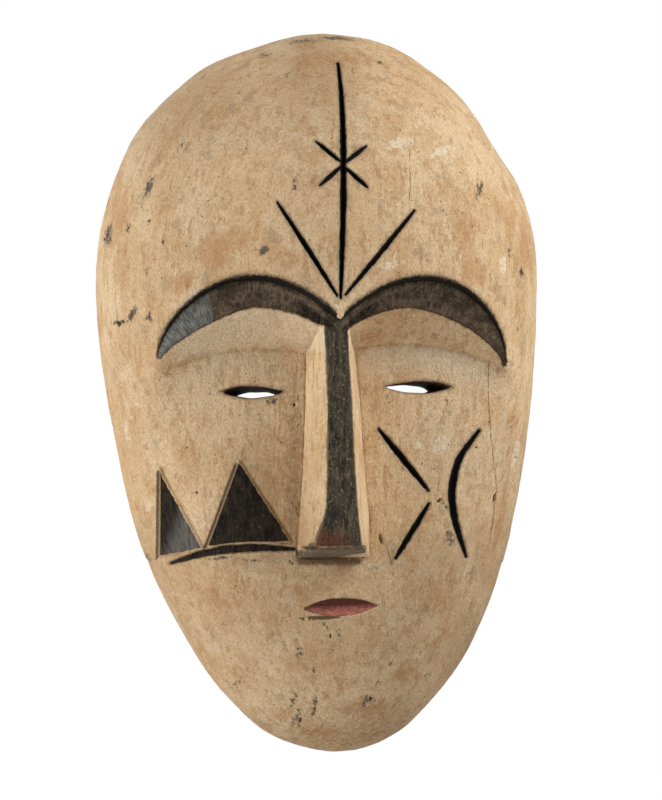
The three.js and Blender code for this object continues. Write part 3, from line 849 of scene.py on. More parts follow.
def make_pigment(node):
    """A thin layer over one field, which ends by dipping under the clay."""
    low, high = box_mm(node)
    margin = 10 if node.startswith("brow") else 5
    step = (0.45 if node.startswith(("brow", "nose_ridge")) else 0.33) / FINENESS
    xs = np.arange(low[0] - margin, high[0] + margin, step)
    zs = np.arange(low[2] - margin, high[2] + margin, step)
    x, z = np.meshgrid(xs, zs)
    points, outward = front_points(x, z)
    y = points[..., 1]
    away = FIELDS[node](x, z)
    if node in TRIANGLES:
        away = away + TRIANGLE_EDGE
    ragged = noise(x, y, z, 2.2, 61, 2)
    full = BROW_STAINS.get(node, STAIN)
    layer = np.clip(full - 0.8 * (away + 0.25 * ragged - 0.15), BURIED, full)
    layer = layer + 0.04 * noise(x, y, z, 1.6, 62, 2)
    level = hand_relief(points) - cut_depth(x, z)
    top = points + outward * (level + layer)[..., None]
    bottom = points + outward * (np.minimum(level, 0) - FOOT)[..., None]

    rows, columns = x.shape
    kept = away[:-1, :-1] < PAST_EDGE
    quads = grid_quads(rows, columns)[kept.ravel()]
    edges = np.stack([quads, np.roll(quads, -1, axis=1)], axis=-1).reshape(-1, 2)
    keys = edges[:, 0] * x.size + edges[:, 1]
    back_keys = edges[:, 1] * x.size + edges[:, 0]
    rim = edges[~np.isin(keys, back_keys)]
    walls = np.stack([rim[:, 1], rim[:, 0], rim[:, 0] + x.size, rim[:, 1] + x.size], axis=-1)
    faces = np.concatenate([quads, quads[:, ::-1] + x.size, walls])
    used, faces = np.unique(faces, return_inverse=True)
    everything = hand_shaped(np.concatenate([top.reshape(-1, 3), bottom.reshape(-1, 3)])[used])
    piece = make_mesh(node.replace("_pigment", "_stain"), everything, faces.reshape(-1, 4).tolist())
    x, _, z = coordinates(piece)
    paint(piece, "inside", np.clip(-FIELDS[node](x, z), -2, 9))
    paint_along(piece, node, x, z)
    return piece


def paint_along(piece, node, x, z):
    """Stores how far along and across its field each point lies, in metres, for brush strokes."""
    if node.startswith("brow"):
        turn = np.arctan2(z - BROW_ARC_Z, np.abs(x) - BROW_ARC_X)
        along, across = turn * BROW_ARC_RADIUS, brow_edge(x) - z
    else:
        along, across = z, x
    paint(piece, "along", along * MM)
    paint(piece, "across", across * MM)


# ================= materials =================
class Graph:
    """A short way to write a material's nodes."""

    def __init__(self, name):
        self.material = bpy.data.materials.new(name)
        self.material.use_nodes = True
        self.tree = self.material.node_tree
        self.shader = self.tree.nodes["Principled BSDF"]
        self.place = self.tree.nodes.new("ShaderNodeTexCoord").outputs["Object"]
        self.base = None

    def add(self, kind, **inputs):
        node = self.tree.nodes.new(kind)
        for name, value in inputs.items():
            self.put(node.inputs[name], value)
        return node

    def put(self, socket, value):
        if isinstance(value, bpy.types.NodeSocket):
            self.tree.links.new(value, socket)
        else:
            socket.default_value = value

    def attribute(self, name):
        node = self.tree.nodes.new("ShaderNodeAttribute")
        node.attribute_name = name
        return node.outputs["Fac"]

    def stretched(self, scale, where=None):
        node = self.add("ShaderNodeMapping", Vector=where or self.place)
        node.inputs["Scale"].default_value = scale
        return node.outputs["Vector"]

    def strokes_place(self):
        """Metres along and across a field."""
        node = self.add("ShaderNodeCombineXYZ", X=self.attribute("along"), Y=self.attribute("across"))
        return node.outputs["Vector"]

    def noise(self, size_mm, detail=3.0, rough=0.55, stretch=(1, 1, 1), where=None, shift=0.0):
        place = self.stretched(stretch, where)
        if shift:
            place = self.add("ShaderNodeVectorMath", Vector=place).outputs["Vector"]
            place.node.inputs[1].default_value = (shift, shift / 2, -shift)
        node = self.add("ShaderNodeTexNoise", Vector=place)
        node.inputs["Scale"].default_value = 1 / (size_mm * MM)
        node.inputs["Detail"].default_value = detail
        node.inputs["Roughness"].default_value = rough
        return node.outputs["Fac"]

    def cells(self, size_mm, stretch=(1, 1, 1)):
        node = self.add("ShaderNodeTexVoronoi", Vector=self.stretched(stretch))
        node.inputs["Scale"].default_value = 1 / (size_mm * MM)
        return node.outputs["Distance"]

    def math(self, operation, a, b=0.0):
        node = self.tree.nodes.new("ShaderNodeMath")
        node.operation = operation
        self.put(node.inputs[0], a)
        self.put(node.inputs[1], b)
        return node.outputs[0]

    def between(self, value, low, high, to_low=0.0, to_high=1.0):
        """Maps a value smoothly from one range to another."""
        node = self.add("ShaderNodeMapRange", Value=value)
        node.interpolation_type = "SMOOTHSTEP"
        set_range(node, low, high, to_low, to_high)
        return node.outputs["Result"]

    def ragged_edge(self, distance, reach, ragged, size_mm, most, stretch=(1, 1, 1)):
        """Strongest at a stored edge, and nothing past a reach in mm that noise makes uneven."""
        wander = self.math("SUBTRACT", self.noise(size_mm, 5, 0.72, stretch, shift=size_mm), 0.5)
        away = self.math("ADD", self.attribute(distance), self.math("MULTIPLY", wander, ragged))
        return self.between(away, reach, reach * 0.3 - 0.2, 0, most)

    def patch(self, name, size_mm, ragged, low, high, most, shift=0.0):
        """A stored soft mark with its edge broken up by noise."""
        wander = self.math("SUBTRACT", self.noise(size_mm, 6, 0.72, (1, 1, 0.7), shift=shift), 0.5)
        strength = self.math("ADD", self.attribute(name), self.math("MULTIPLY", wander, ragged))
        return self.between(strength, low, high, 0, most)

    def tint(self, share, tone):
        """Lays a share of a colour over the base colour so far."""
        self.base = self.mix(share, self.base, tone)

    def mix(self, share, one, other, kind="MIX"):
        node = self.tree.nodes.new("ShaderNodeMix")
        node.data_type = "RGBA"
        node.blend_type = kind
        self.put(node.inputs["Factor"], share)
        self.put(node.inputs[6], colour(one))
        self.put(node.inputs[7], colour(other))
        return node.outputs[2]

    def bump(self, height, distance_mm, strength=1.0, normal=None):
        node = self.add("ShaderNodeBump", Height=height)
        node.inputs["Distance"].default_value = distance_mm * MM
        node.inputs["Strength"].default_value = strength
        if normal:
            self.put(node.inputs["Normal"], normal)
        return node.outputs["Normal"]

    def finish(self, rough, normal, gloss):
        self.put(self.shader.inputs["Base Color"], self.base)
        self.put(self.shader.inputs["Roughness"], rough)
        self.put(self.shader.inputs["Normal"], normal)
        self.shader.inputs["Specular IOR Level"].default_value = gloss
        return self.material


def set_range(node, low, high, to_low, to_high):
    ends = {"From Min": low, "From Max": high, "To Min": to_low, "To Max": to_high}
    for name, number in ends.items():
        node.inputs[name].default_value = number


def colour(value):
    """An sRGB colour out of 255 as the linear colour that a socket takes."""
    if isinstance(value, bpy.types.NodeSocket):
        return value
    shares = [c / 255 for c in value]
    linear = [s / 12.92 if s <= 0.04045 else ((s + 0.055) / 1.055) ** 2.4 for s in shares]
    return (*linear, 1)


def clay_colour(g, grain):
    g.base = g.mix(g.between(g.noise(42, 4, 0.6), 0.38, 0.62), (215, 184, 143), (226, 199, 161))
    g.tint(g.between(g.noise(5, 5, 0.66, (1, 1, 0.16)), 0.46, 0.7, 0, 0.5), (203, 167, 122))
    layers = (  # size, stretch along Z, shift, threshold, softness, share and colour
        (19, 0.7, 3.1, 0.53, 0.06, 0.4, (198, 155, 108)),
        (21, 1.0, 7.7, 0.57, 0.06, 0.32, (236, 217, 184)),
        (9, 0.6, 5.5, 0.57, 0.04, 0.36, (190, 149, 104)),
        (12, 1.0, 9.4, 0.57, 0.06, 0.42, (170, 151, 122)),
        (5, 0.35, 2.2, 0.57, 0.04, 0.48, (178, 131, 88)),
    )
    for size, stretch, shift, threshold, soft, share, tone in layers:
        patches = g.noise(size, 6, 0.66, (1, 1, stretch), shift=shift)
        g.tint(g.between(patches, threshold, threshold + soft, 0, share), tone)

    smoke = g.mix(g.between(g.noise(3, 4, 0.7, shift=2.6), 0.4, 0.6), (52, 46, 40), (106, 102, 94))
    stored = (  # name, noise size and amount, the strengths it runs between, share, shift and colour
        ("stain", 5, 1.9, 0.42, 0.95, 0.62, 0.6, (192, 143, 96)),
        ("pale", 3, 1.1, 0.55, 0.68, 0.8, 1.7, (236, 219, 190)),
        # painted shade in folds, beside and under the nose and under the right brow, and a darker chin
        # and jaw
        ("shade_and_darkening", 2.2, 0.9, 0.1, 0.75, 0.85, 4.8, (104, 78, 54)),
        ("soot", 2.1, 2.6, 0.5, 0.86, 0.9, 3.4, smoke),
        # painted shadow by the triangles' left edges, with the dark lines at the nose's tip and under
        # the mouth
        ("shadow_and_dark_lines", 1.5, 0.7, 0.3, 0.8, 0.85, 5.1, (58, 46, 34)),
    )
    for *mark, tone in stored:
        g.tint(g.patch(*mark), tone)

    scratches = g.noise(1.3, 4, 0.6, (1, 1, 0.06), shift=6.6)
    g.tint(g.between(scratches, 0.66, 0.7, 0, 0.4), (140, 108, 76))
    specks = g.noise(1.5, 3, 0.7, (1, 1, 0.7), shift=5.3)
    g.tint(g.between(specks, 0.66, 0.71, 0, 0.7), (116, 88, 62))
    some = g.between(g.noise(13, 2, 0.5, shift=1.2), 0.5, 0.56)
    pits = g.math("MULTIPLY", g.between(g.cells(5.2), 0.13, 0.07), some)
    g.tint(g.math("MULTIPLY", pits, 0.8), (86, 62, 42))
    # broad painted shade, and a darker tone of the clay on the crown
    g.tint(g.attribute("broad_shade_and_tone"), (92, 66, 44))
    # painted light, paler where the face would catch more light
    g.tint(g.attribute("painted_light"), (240, 226, 200))
    g.base = g.mix(g.between(grain, 0.32, 0.62, 0.62, 0), g.base, (196, 180, 162), "MULTIPLY")


def clay_edges(g):
    """The dark that was brushed or rubbed past each field's edge, and the cracks."""
    edges = (  # stored distance, reach, raggedness, noise size, stretch along Z, share and colour
        ("brow_over", 1.5, 4.2, 1.3, 0.5, 0.93, (38, 31, 24)),
        ("brow_over", 3.2, 6, 3.0, 0.5, 0.45, (112, 92, 70)),
        ("brow_under", 1.2, 4.6, 1.5, 1, 0.85, (86, 62, 42)),
        ("line_away", 0.6, 2.2, 1.0, 1, 0.92, (40, 34, 28)),
        ("line_away", 1.8, 4.6, 3.2, 1, 0.45, (114, 100, 82)),
        ("stain_away", 0.5, 2.4, 1.2, 1, 0.85, (74, 54, 40)),
        ("eye_away", 0.9, 2.4, 1.0, 1, 0.95, (38, 30, 24)),
        ("eye_away", 2.6, 4, 2.2, 1, 0.45, (116, 90, 66)),
    )
    for name, reach, ragged, size, stretch, share, tone in edges:
        g.tint(g.ragged_edge(name, reach, ragged, size, share, (1, 1, stretch)), tone)
    g.tint(crack_share(g), (88, 62, 42))


def crack_share(g):
    """Full on the thin cracks: the stored distance has a sign, so it is exact between points."""
    wander = g.math("MULTIPLY", g.math("SUBTRACT", g.noise(3, 5, 0.7), 0.5), 2.2)
    away = g.math("ABSOLUTE", g.math("ADD", g.attribute("crack_side"), wander))
    broken = g.between(g.noise(8, 3, 0.6, shift=2.3), 0.42, 0.5, 0.25, 0.9)
    return g.math("MULTIPLY", g.between(away, 0.34, 0.12), broken)


def clay_material():
    g = Graph("white_clay")
    grain = g.noise(1.0, 4, 0.72, (1, 1, 0.7))
    brushing = g.noise(2.3, 4, 0.65, (1, 1, 0.3), shift=2.9)
    flaking = g.between(g.noise(9, 6, 0.66, (1, 1, 0.7), shift=7.7), 0.5, 0.58)
    pitting = g.between(g.cells(2.4, (1, 1, 0.8)), 0.02, 0.2)
    clay_colour(g, grain)
    clay_edges(g)
    normal = g.bump(brushing, 0.5, 0.9)
    normal = g.bump(flaking, 0.25, 0.6, normal)
    normal = g.bump(grain, 0.3, 1.0, normal)
    normal = g.bump(pitting, 0.12, 0.7, normal)
    normal = g.bump(crack_share(g), 0.5, -0.8, normal)
    return g.finish(g.between(grain, 0.2, 0.8, 0.85, 1.0), normal, 0.15)


def wood_material():
    g = Graph("wood")
    grain = g.noise(3.2, 5, 0.65, (1, 1, 0.06))
    pores = g.noise(0.7, 3, 0.6, (1, 1, 0.07))
    patches = g.noise(30, 4, 0.6)
    smoke = g.math("MULTIPLY", g.attribute("smoke"), g.between(g.noise(9, 4, 0.6), 0.2, 0.6, 0.35, 0.85))
    g.base = g.mix(g.between(grain, 0.35, 0.68), (60, 42, 29), (104, 74, 49))
    g.tint(g.between(patches, 0.45, 0.68), (56, 40, 28))
    g.tint(smoke, (46, 35, 26))
    g.tint(g.attribute("sooty"), (20, 15, 11))
    g.tint(g.math("MULTIPLY", g.attribute("handled"), 0.6), (148, 106, 68))
    g.tint(g.between(pores, 0.55, 0.7, 0, 0.5), (36, 25, 18))
    normal = g.bump(grain, 0.5, 0.5)
    normal = g.bump(pores, 0.18, 0.6, normal)
    return g.finish(g.between(patches, 0.3, 0.7, 0.62, 0.84), normal, 0.3)


def black_material():
    g = Graph("black_pigment")
    rubbed = g.noise(2.4, 5, 0.72, (1, 1, 0.5))
    specks = g.noise(1.0, 3, 0.65, shift=2.2)
    g.base = g.mix(g.between(rubbed, 0.42, 0.74), (15, 12, 10), (34, 28, 23))
    g.tint(g.between(specks, 0.62, 0.74, 0, 0.5), (70, 58, 46))
    g.tint(g.ragged_edge("inside", 0.1, 0.9, 1.0, 0.5), (78, 68, 57))
    normal = g.bump(rubbed, 0.25, 0.6)
    normal = g.bump(specks, 0.1, 0.7, normal)
    return g.finish(g.between(rubbed, 0.3, 0.7, 0.8, 0.95), normal, 0.12)


def triangle_material():
    g = Graph("black_pigment_rubbed")
    scratches = g.noise(1.5, 4, 0.68, (1, 1, 0.14))
    patches = g.noise(6, 5, 0.66, (1, 1, 0.6), shift=1.1)
    specks = g.noise(1.5, 4, 0.74, (1, 1, 0.7), shift=4.4)
    # painted sheen: a grey glint of light laid over the black
    painted_sheen = g.math("MULTIPLY", g.attribute("painted_sheen"), g.between(scratches, 0.25, 0.65, 0.35, 1.0))
    g.base = g.mix(g.between(scratches, 0.42, 0.7), (17, 14, 11), (56, 47, 36))
    g.tint(g.between(patches, 0.47, 0.6, 0, 0.7), (50, 40, 28))
    g.tint(g.between(specks, 0.6, 0.68, 0, 0.6), (110, 90, 66))
    g.tint(painted_sheen, (112, 109, 102))
    g.tint(g.ragged_edge("inside", 0.35, 0.8, 1.0, 0.8), (156, 130, 96))
    normal = g.bump(scratches, 0.3, 0.7)
    normal = g.bump(specks, 0.15, 0.8, normal)
    return g.finish(g.between(patches, 0.3, 0.7, 0.72, 0.9), normal, 0.14)


def brow_material():
    g = Graph("brown_pigment_brushed")
    place = g.strokes_place()
    hatch = g.noise(1.1, 5, 0.75, (1, 0.18, 1), where=place)
    sweep = g.noise(2.2, 5, 0.7, (0.12, 1, 1), where=place, shift=0.4)
    patches = g.noise(9, 5, 0.66, shift=2.0)
    blotches = g.noise(2.6, 5, 0.75, shift=5.2)
    mottled = g.noise(1.6, 4, 0.75, shift=8.0)
    slate = g.mix(g.between(hatch, 0.38, 0.64), (82, 84, 82), (142, 140, 132))
    dark = g.math("ADD", g.attribute("black_paint_and_shade"), g.math("MULTIPLY", g.noise(1.8, 5, 0.75), 0.7))
    g.base = g.mix(g.between(hatch, 0.38, 0.66), (58, 49, 39), (124, 107, 86))
    g.tint(g.between(sweep, 0.46, 0.66, 0, 0.5), (126, 112, 92))
    g.tint(g.between(patches, 0.46, 0.6, 0, 0.75), (56, 48, 38))
    g.tint(g.between(blotches, 0.5, 0.62, 0, 0.6), (50, 40, 31))
    g.tint(g.between(mottled, 0.54, 0.64, 0, 0.6), (132, 98, 68))
    g.tint(g.attribute("greyed"), slate)
    g.tint(g.between(dark, 0.68, 1.0), (24, 19, 15))
    g.tint(g.ragged_edge("lower_edge", 0.3, 3.2, 1.4, 0.75), (70, 50, 34))
    normal = g.bump(hatch, 0.4, 0.8)
    normal = g.bump(sweep, 0.2, 0.6, normal)
    return g.finish(g.between(hatch, 0.3, 0.7, 0.72, 0.9), normal, 0.15)


def nose_material():
    g = Graph("brown_pigment_streaked")
    streaks = g.noise(1.5, 5, 0.74, (1, 1, 0.16))
    patches = g.noise(8, 5, 0.68, (1, 1, 0.6), shift=1.4)
    specks = g.noise(1.3, 4, 0.75, (1, 1, 0.7), shift=6.1)
    blotches = g.noise(4, 5, 0.7, (1, 1, 0.5), shift=9.9)
    flecks = g.between(g.noise(1.8, 5, 0.75, shift=3.3), 0.52, 0.62)
    lines = g.noise(1.2, 4, 0.7, (0.16, 1, 1))
    smeared = g.mix(g.between(lines, 0.36, 0.66), (66, 54, 42), (122, 106, 84))
    g.base = g.mix(g.between(streaks, 0.4, 0.64), (36, 32, 26), (92, 81, 64))
    g.tint(g.between(patches, 0.44, 0.6, 0, 0.65), (68, 64, 55))
    g.tint(g.between(blotches, 0.53, 0.63, 0, 0.65), (34, 30, 25))
    g.tint(g.between(specks, 0.57, 0.65, 0, 0.75), (140, 123, 98))
    g.tint(g.patch("browned", 2.2, 2.4, 0.4, 1.0, 0.9), (92, 56, 38))
    g.tint(g.math("MULTIPLY", g.attribute("browned"), flecks), (34, 24, 18))
    g.tint(g.attribute("underneath"), smeared)
    g.tint(g.ragged_edge("inside", 0.6, 2.2, 1.3, 0.7, (1, 1, 0.5)), (140, 117, 90))
    g.tint(g.ragged_edge("tip", 0.5, 1.2, 1.5, 0.9, (0.3, 1, 1)), (34, 26, 20))
    normal = g.bump(streaks, 0.4, 0.8)
    normal = g.bump(specks, 0.15, 0.7, normal)
    return g.finish(g.between(patches, 0.3, 0.7, 0.72, 0.9), normal, 0.14)


def mouth_material():
    g = Graph("red_pigment")
    grain = g.noise(1.2, 4, 0.7, (0.5, 1, 1))
    patches = g.noise(4, 4, 0.7, (0.5, 1, 1), shift=2.5)
    # the hollow's lower half in lit red, and its upper half in a darker copy of the red as painted shade
    low = g.mix(g.between(grain, 0.35, 0.7), (142, 82, 70), (184, 118, 102))
    deep = g.mix(g.between(grain, 0.35, 0.7), (66, 34, 26), (100, 54, 42))
    g.base = g.mix(g.attribute("black_paint_and_shade"), low, deep)
    g.tint(g.between(patches, 0.5, 0.66, 0, 0.45), (112, 58, 46))
    g.tint(g.ragged_edge("inside", 0.2, 1.4, 1.2, 0.7), (66, 42, 32))
    return g.finish(0.85, g.bump(grain, 0.3, 0.8), 0.2)


# ================= where the clay is marked =================
# Marks on the clay: middle x and z, half length, half width, turn in degrees, and strength.
SOOT = (
    (-118, -107, 9, 2.5, 85, 0.9),
    (-107, -151, 6, 2.2, 70, 1.1),
    (-113, -155, 6, 1.4, 5, 1.0),
    (-99, -153, 5, 1.6, 100, 1.0),
    (-98, -82, 8, 2.2, 65, 1.0),
    (-109, -104, 4, 2, 70, 0.9),
    (-92, -112, 4, 2, 80, 0.7),
    (-41, -118, 4.5, 3, 40, 1.05),
    (-24, -83, 6, 2.4, 85, 0.8),
    (-81, -60, 4, 2, 60, 0.7),
    (96, -118, 9, 1.8, 80, 0.8),
    (105, -128, 4, 2.5, 80, 0.9),
    (103, -158, 5, 2, 90, 0.8),
    (79, -84, 8, 1.8, 70, 0.9),
    (-63, -32, 4, 2.5, 30, 0.7),
    (28, -14, 4, 1.8, -20, 0.8),
    (-33, -9, 6, 2.5, 20, 0.7),
    (8, 2, 16, 2.5, 0, 0.9),
    (-12, 0, 12, 3, 8, 0.8),
    (-16, -335, 5, 3, 80, 0.85),
    (22, -362, 6, 3.6, 50, 0.8),
    (27, -352, 3, 1.6, 60, 0.9),
    (-15, -372, 9, 2, 76, 0.9),
    (-6, -368, 8, 1.6, 84, 0.9),
    (-17, -360, 4, 1.8, 70, 0.9),
    (57, -349, 7, 3, 50, 0.6),
    (82, -310, 10, 3, 65, 0.5),
    (-46, -352, 8, 4, 50, 0.6),
    (78, -82, 16, 2.5, 80, 0.6),
    (90, -130, 14, 3, 85, 0.4),
    (66, -272, 8, 3.5, -75, 0.9),
    (60, -253, 7, 4, 10, 0.6),
    (-33, -198, 6, 2.2, 20, 0.9),
    (-60, -283, 9, 1.3, 8, 1.0),
    (-43, -283.5, 8, 1.3, 0, 1.0),
    (-16, -281, 5, 5, 0, 0.9),
    (-3, -320, 6, 2.2, -50, 0.8),
    (-13.6, -275.6, 3.4, 2.2, 50, 1.3),
    (4, -324, 3, 6, 10, 0.6),
    (92, -250, 3, 18, 6, 0.5),
    (2, -72, 13, 9, 0, 0.35),
    (14, -14, 6, 3, 0, 0.4),
    (112, -240, 22, 3, 80, 0.5),
    (108, -190, 24, 3, 86, 0.4),
    (-106, -225, 22, 3, 100, 0.35),
    (64, -198, 5, 2.5, 40, 0.7),
    (-100, -128, 5, 2, 80, 0.6),
    (-8, -345, 6, 2, 80, 0.7),
    (-6, -362, 8, 2.5, 85, 0.8),
    (-18, -362, 6, 2.5, 80, 0.7),
    (34, -341, 4, 2, 60, 0.7),
    (84, -330, 8, 2.5, 60, 0.5),
    (70, -296, 6, 1.5, 70, 0.5),
    (-16, -322, 8, 1.6, 85, 0.5),
    (-34, -292, 3, 2, 0, 0.6),
    (57, -96, 3, 2, 45, 0.6),
    (-12, -96, 3, 5, 10, 0.5),
    (-24, -22, 4, 2, 60, 0.6),
    (42, -30, 5, 2, -60, 0.5),
)
STAINS = (
    (-66, -118, 22, 12, 25, 1.0),
    (-82, -134, 12, 7, 45, 1.0),
    (-30, -122, 22, 8, -10, 0.8),
    (74, -128, 12, 13, 60, 1.1),
    (68, -110, 14, 18, 0, 0.8),
    (98, -100, 26, 6, 75, 0.9),
    (30, -66, 14, 6, -50, 0.8),
    (-113, -96, 26, 7, 80, 1.0),
    (-104, -180, 30, 6, 85, 0.6),
    (-70, -210, 22, 16, 0, 0.6),
    (-35, -214, 16, 12, 30, 0.6),
    (50, -96, 16, 9, 30, 0.5),
    (6, -352, 30, 12, 0, 0.7),
    (60, -305, 24, 10, -60, 0.8),
    (-60, -306, 22, 9, -45, 0.8),
    (-20, -300, 16, 8, 0, 0.7),
    (-20, -240, 40, 5, 90, 0.5),
    (25, -366, 16, 10, 0, 1.0),
    (44, -346, 13, 9, 40, 0.9),
    (0, -381, 14, 5, 0, 1.0),
    (62, -330, 18, 6, 55, 0.8),
    (98, -262, 38, 8, 78, 0.8),
    (108, -110, 30, 7, 85, 0.9),
    (4, -14, 34, 8, 0, 0.8),
    (-60, -44, 24, 12, 35, 0.5),
    (8, -100, 12, 20, 0, 0.4),
    (60, -168, 40, 7, -8, 0.6),
)
PALE = (
    (57, -64, 14, 4, 20, 0.8),
    (-28, -58, 12, 6, 30, 0.6),
    (-63, -106, 10, 5, 40, 0.6),
    (28, -125, 14, 6, 20, 0.7),
    (-78, -143, 12, 2.5, 42, 1.0),
    (60, -221, 8, 7, 40, 0.9),
    (48, -222, 4, 4, 0, 0.8),
    (106, -227, 10, 3, 76, 1.1),
    (50, -336, 5, 7, 20, 0.7),
    (23, -364, 3, 1.6, 30, 1.0),
    (92, -124, 8, 4, 80, 0.9),
    (33, -60, 16, 5, 10, 0.8),
    (-96, -256, 9, 3, 80, 0.7),
    (-60, -262, 5, 8, 0, 0.5),
    (92, -60, 10, 4, 60, 0.6),
    (-50, -152, 30, 4, 8, 0.6),
    (-3, -148, 5, 3, 0, 0.8),
    (40, -198, 16, 8, 20, 0.5),
    (-108, -215, 20, 4, 100, 0.6),
    (14, -36, 16, 8, 0, 0.5),
)
# Thin cracks, each from its top down.
CRACKS = (
    ((86, -176), (86.5, -197), (90, -224), (94.5, -244), (94, -254), (91.5, -278)),
    ((38.6, -62), (38.2, -80), (37, -98)),
    ((30, -278), (33, -288), (34, -294)),
)


def marks(x, z, places):
    """The strongest of the soft round marks at each point."""
    total = np.zeros(x.shape)
    for middle_x, middle_z, half_length, half_width, turn, strength in places:
        away = spot(x, z, middle_x, middle_z, half_length, half_width, turn)
        total = np.maximum(total, strength * np.exp(-(away**2)))
    return total


FAR = 8.0  # distances past this many mm are stored as this


def mark_distances(piece, x, z):
    """Stores how far each point is from the fields, the slits and the cracks."""
    line_away, stain_away = np.full(x.shape, FAR), np.full(x.shape, FAR)
    for name in FIELDS:
        if name in TRIANGLES or name.startswith("brow"):
            continue
        away = field_everywhere(name, x, z, FAR)
        if name in LINES and name != "cheek_band_pigment":
            line_away = np.minimum(line_away, away)
        elif name != "nose_ridge_pigment":
            stain_away = np.minimum(stain_away, away)
    paint(piece, "line_away", line_away)
    paint(piece, "stain_away", stain_away)
    paint(piece, "eye_away", np.minimum(FAR, slits_away(x, z)))

    brows = (field_everywhere(f"brow_{side}_pigment", x, z, FAR) for side in ("left", "right"))
    brow_away = np.minimum(*brows)
    above = z > (brow_edge(x) + crescent_edge(x)) / 2
    paint(piece, "brow_over", np.where(above, brow_away, FAR))
    paint(piece, "brow_under", np.where(above, FAR, brow_away))

    crack_side = np.full(x.shape, FAR)
    for crack in CRACKS:
        xs, zs = (np.array(values) for values in zip(*bend(crack)[::-1], strict=True))
        side = x - np.interp(z, zs, xs)
        side = np.where((z > zs[0]) & (z < zs[-1]), side, FAR)
        crack_side = np.where(np.abs(side) < np.abs(crack_side), side, crack_side)
    paint(piece, "crack_side", np.clip(crack_side, -FAR, FAR))


def shadow_and_dark_lines(x, z):
    """Painted shadow by the triangles' left edges, and dark lines over the nose's tip and under the
    mouth.
    """
    shade = np.zeros(x.shape)
    for name, (apex, foot, _) in TRIANGLES.items():
        away = field_everywhere(name, x, z, FAR)
        length = math.hypot(foot[0] - apex[0], foot[1] - apex[1])
        left = ((x - apex[0]) * (foot[1] - apex[1]) - (z - apex[1]) * (foot[0] - apex[0])) / length
        # painted shadow: a strip outside each triangle's left edge only, as the raised triangle would
        # shade it
        strip = smoothstep(0.2, 0.6, left) * smoothstep(2.7, 1.2, left)
        strip = strip * smoothstep(0.9, 0.3, away - left) * smoothstep(1, -3, z - apex[1])
        shade = np.maximum(shade, strip)
    off = x - TIP_STAIN_X
    above_tip = z - NOSE_TIP_Z - 0.04 * off - 0.7
    over_nose = 1.1 * np.exp(-((above_tip / 1.1) ** 2)) * smoothstep(TIP_STAIN_HALF, 14, np.abs(off))
    under_mouth = 1.2 * np.exp(-(spot(x, z, -6.5, -315.1, 13, 1.2, 1.5) ** 4))
    return np.maximum.reduce([shade, over_nose, under_mouth])


def broad_shade_and_tone(x, z):
    """Broad darkening as a share: a darker tone, as on the crown, and painted shade left of the nose and
    on the chin.
    """
    crown = 0.21 * smoothstep(-90, -30, z) * smoothstep(34, 4, x)
    middle = 0.12 * np.exp(-(((x + 14) / 26) ** 2)) * smoothstep(-150, -132, z)
    # painted shade, where the nose shades the face on its left
    left_of_nose = 0.22 * np.exp(-(((x + 32) / 17) ** 2)) * smoothstep(-204, -244, z)
    left_of_nose = left_of_nose * smoothstep(-296, -276, z)
    low = 0.2 * smoothstep(-250, -286, z)
    right_cheek = 0.17 * smoothstep(16, 50, x) * smoothstep(-190, -236, z) * smoothstep(-330, -290, z)
    # painted shade, where the light falls off low on the right
    right_chin = 0.24 * smoothstep(6, 48, x) * smoothstep(-284, -338, z)
    return np.clip(crown + middle + left_of_nose + low + right_cheek + right_chin, 0, 0.6)


def painted_light(x, z):
    """Painted light on the left under-brow slope and on the ledge just below the crease, as a share."""
    fallen = crease_z(x) - z
    slope = smoothstep(0.5, 3, -fallen) * smoothstep(0, 2, crescent_edge(x) - z)
    ledge = smoothstep(0.3, 2, fallen) * smoothstep(20, 6, fallen) * smoothstep(12, 20, np.abs(x))
    share = np.where(x < 0, np.maximum(0.3 * slope, 0.2 * ledge), 0.42 * ledge)
    return share * smoothstep(92, 80, np.abs(x))


def shade_and_darkening(x, z):
    """Painted shade in folds, beside and under the nose and on the right under-brow slope; darker chin
    and jaw.
    """
    fold = 0.3 * np.exp(-((fold_away(x, z) / 1.1) ** 2)) * (z < -160)
    beside = np.exp(-(((-x - 21) / 6) ** 2)) * smoothstep(-172, -186, z) * smoothstep(-284, -262, z)
    under_nose = np.exp(-(((z + 284) / 2.6) ** 2)) * smoothstep(22, 14, np.abs(x + 2))
    right_slope = smoothstep(14, 22, x) * smoothstep(84, 70, x)
    right_slope = right_slope * smoothstep(-148, -154, z) * smoothstep(1, 4, z - crease_z(x))
    chin = smoothstep(-340, -392, z)
    jaw = smoothstep(40, 90, x) * smoothstep(-290, -330, z)
    folds = (fold, 0.35 * beside, 0.9 * under_nose, 0.22 * right_slope, 0.4 * chin, 0.3 * jaw)
    return np.clip(np.maximum.reduce(folds), 0, 1)


def mark_clay(piece):
    """Stores the distances and the soft marks that the clay's material reads."""
    x, _, z = coordinates(piece)
    mark_distances(piece, x, z)
    paint(piece, "shadow_and_dark_lines", shadow_and_dark_lines(x, z))
    paint(piece, "broad_shade_and_tone", broad_shade_and_tone(x, z))
    paint(piece, "painted_light", painted_light(x, z))
    paint(piece, "shade_and_darkening", shade_and_darkening(x, z))
    paint(piece, "soot", np.clip(marks(x, z, SOOT), 0, 1.3))
    paint(piece, "stain", np.clip(marks(x, z, STAINS), 0, 1))
    paint(piece, "pale", marks(x, z, PALE))


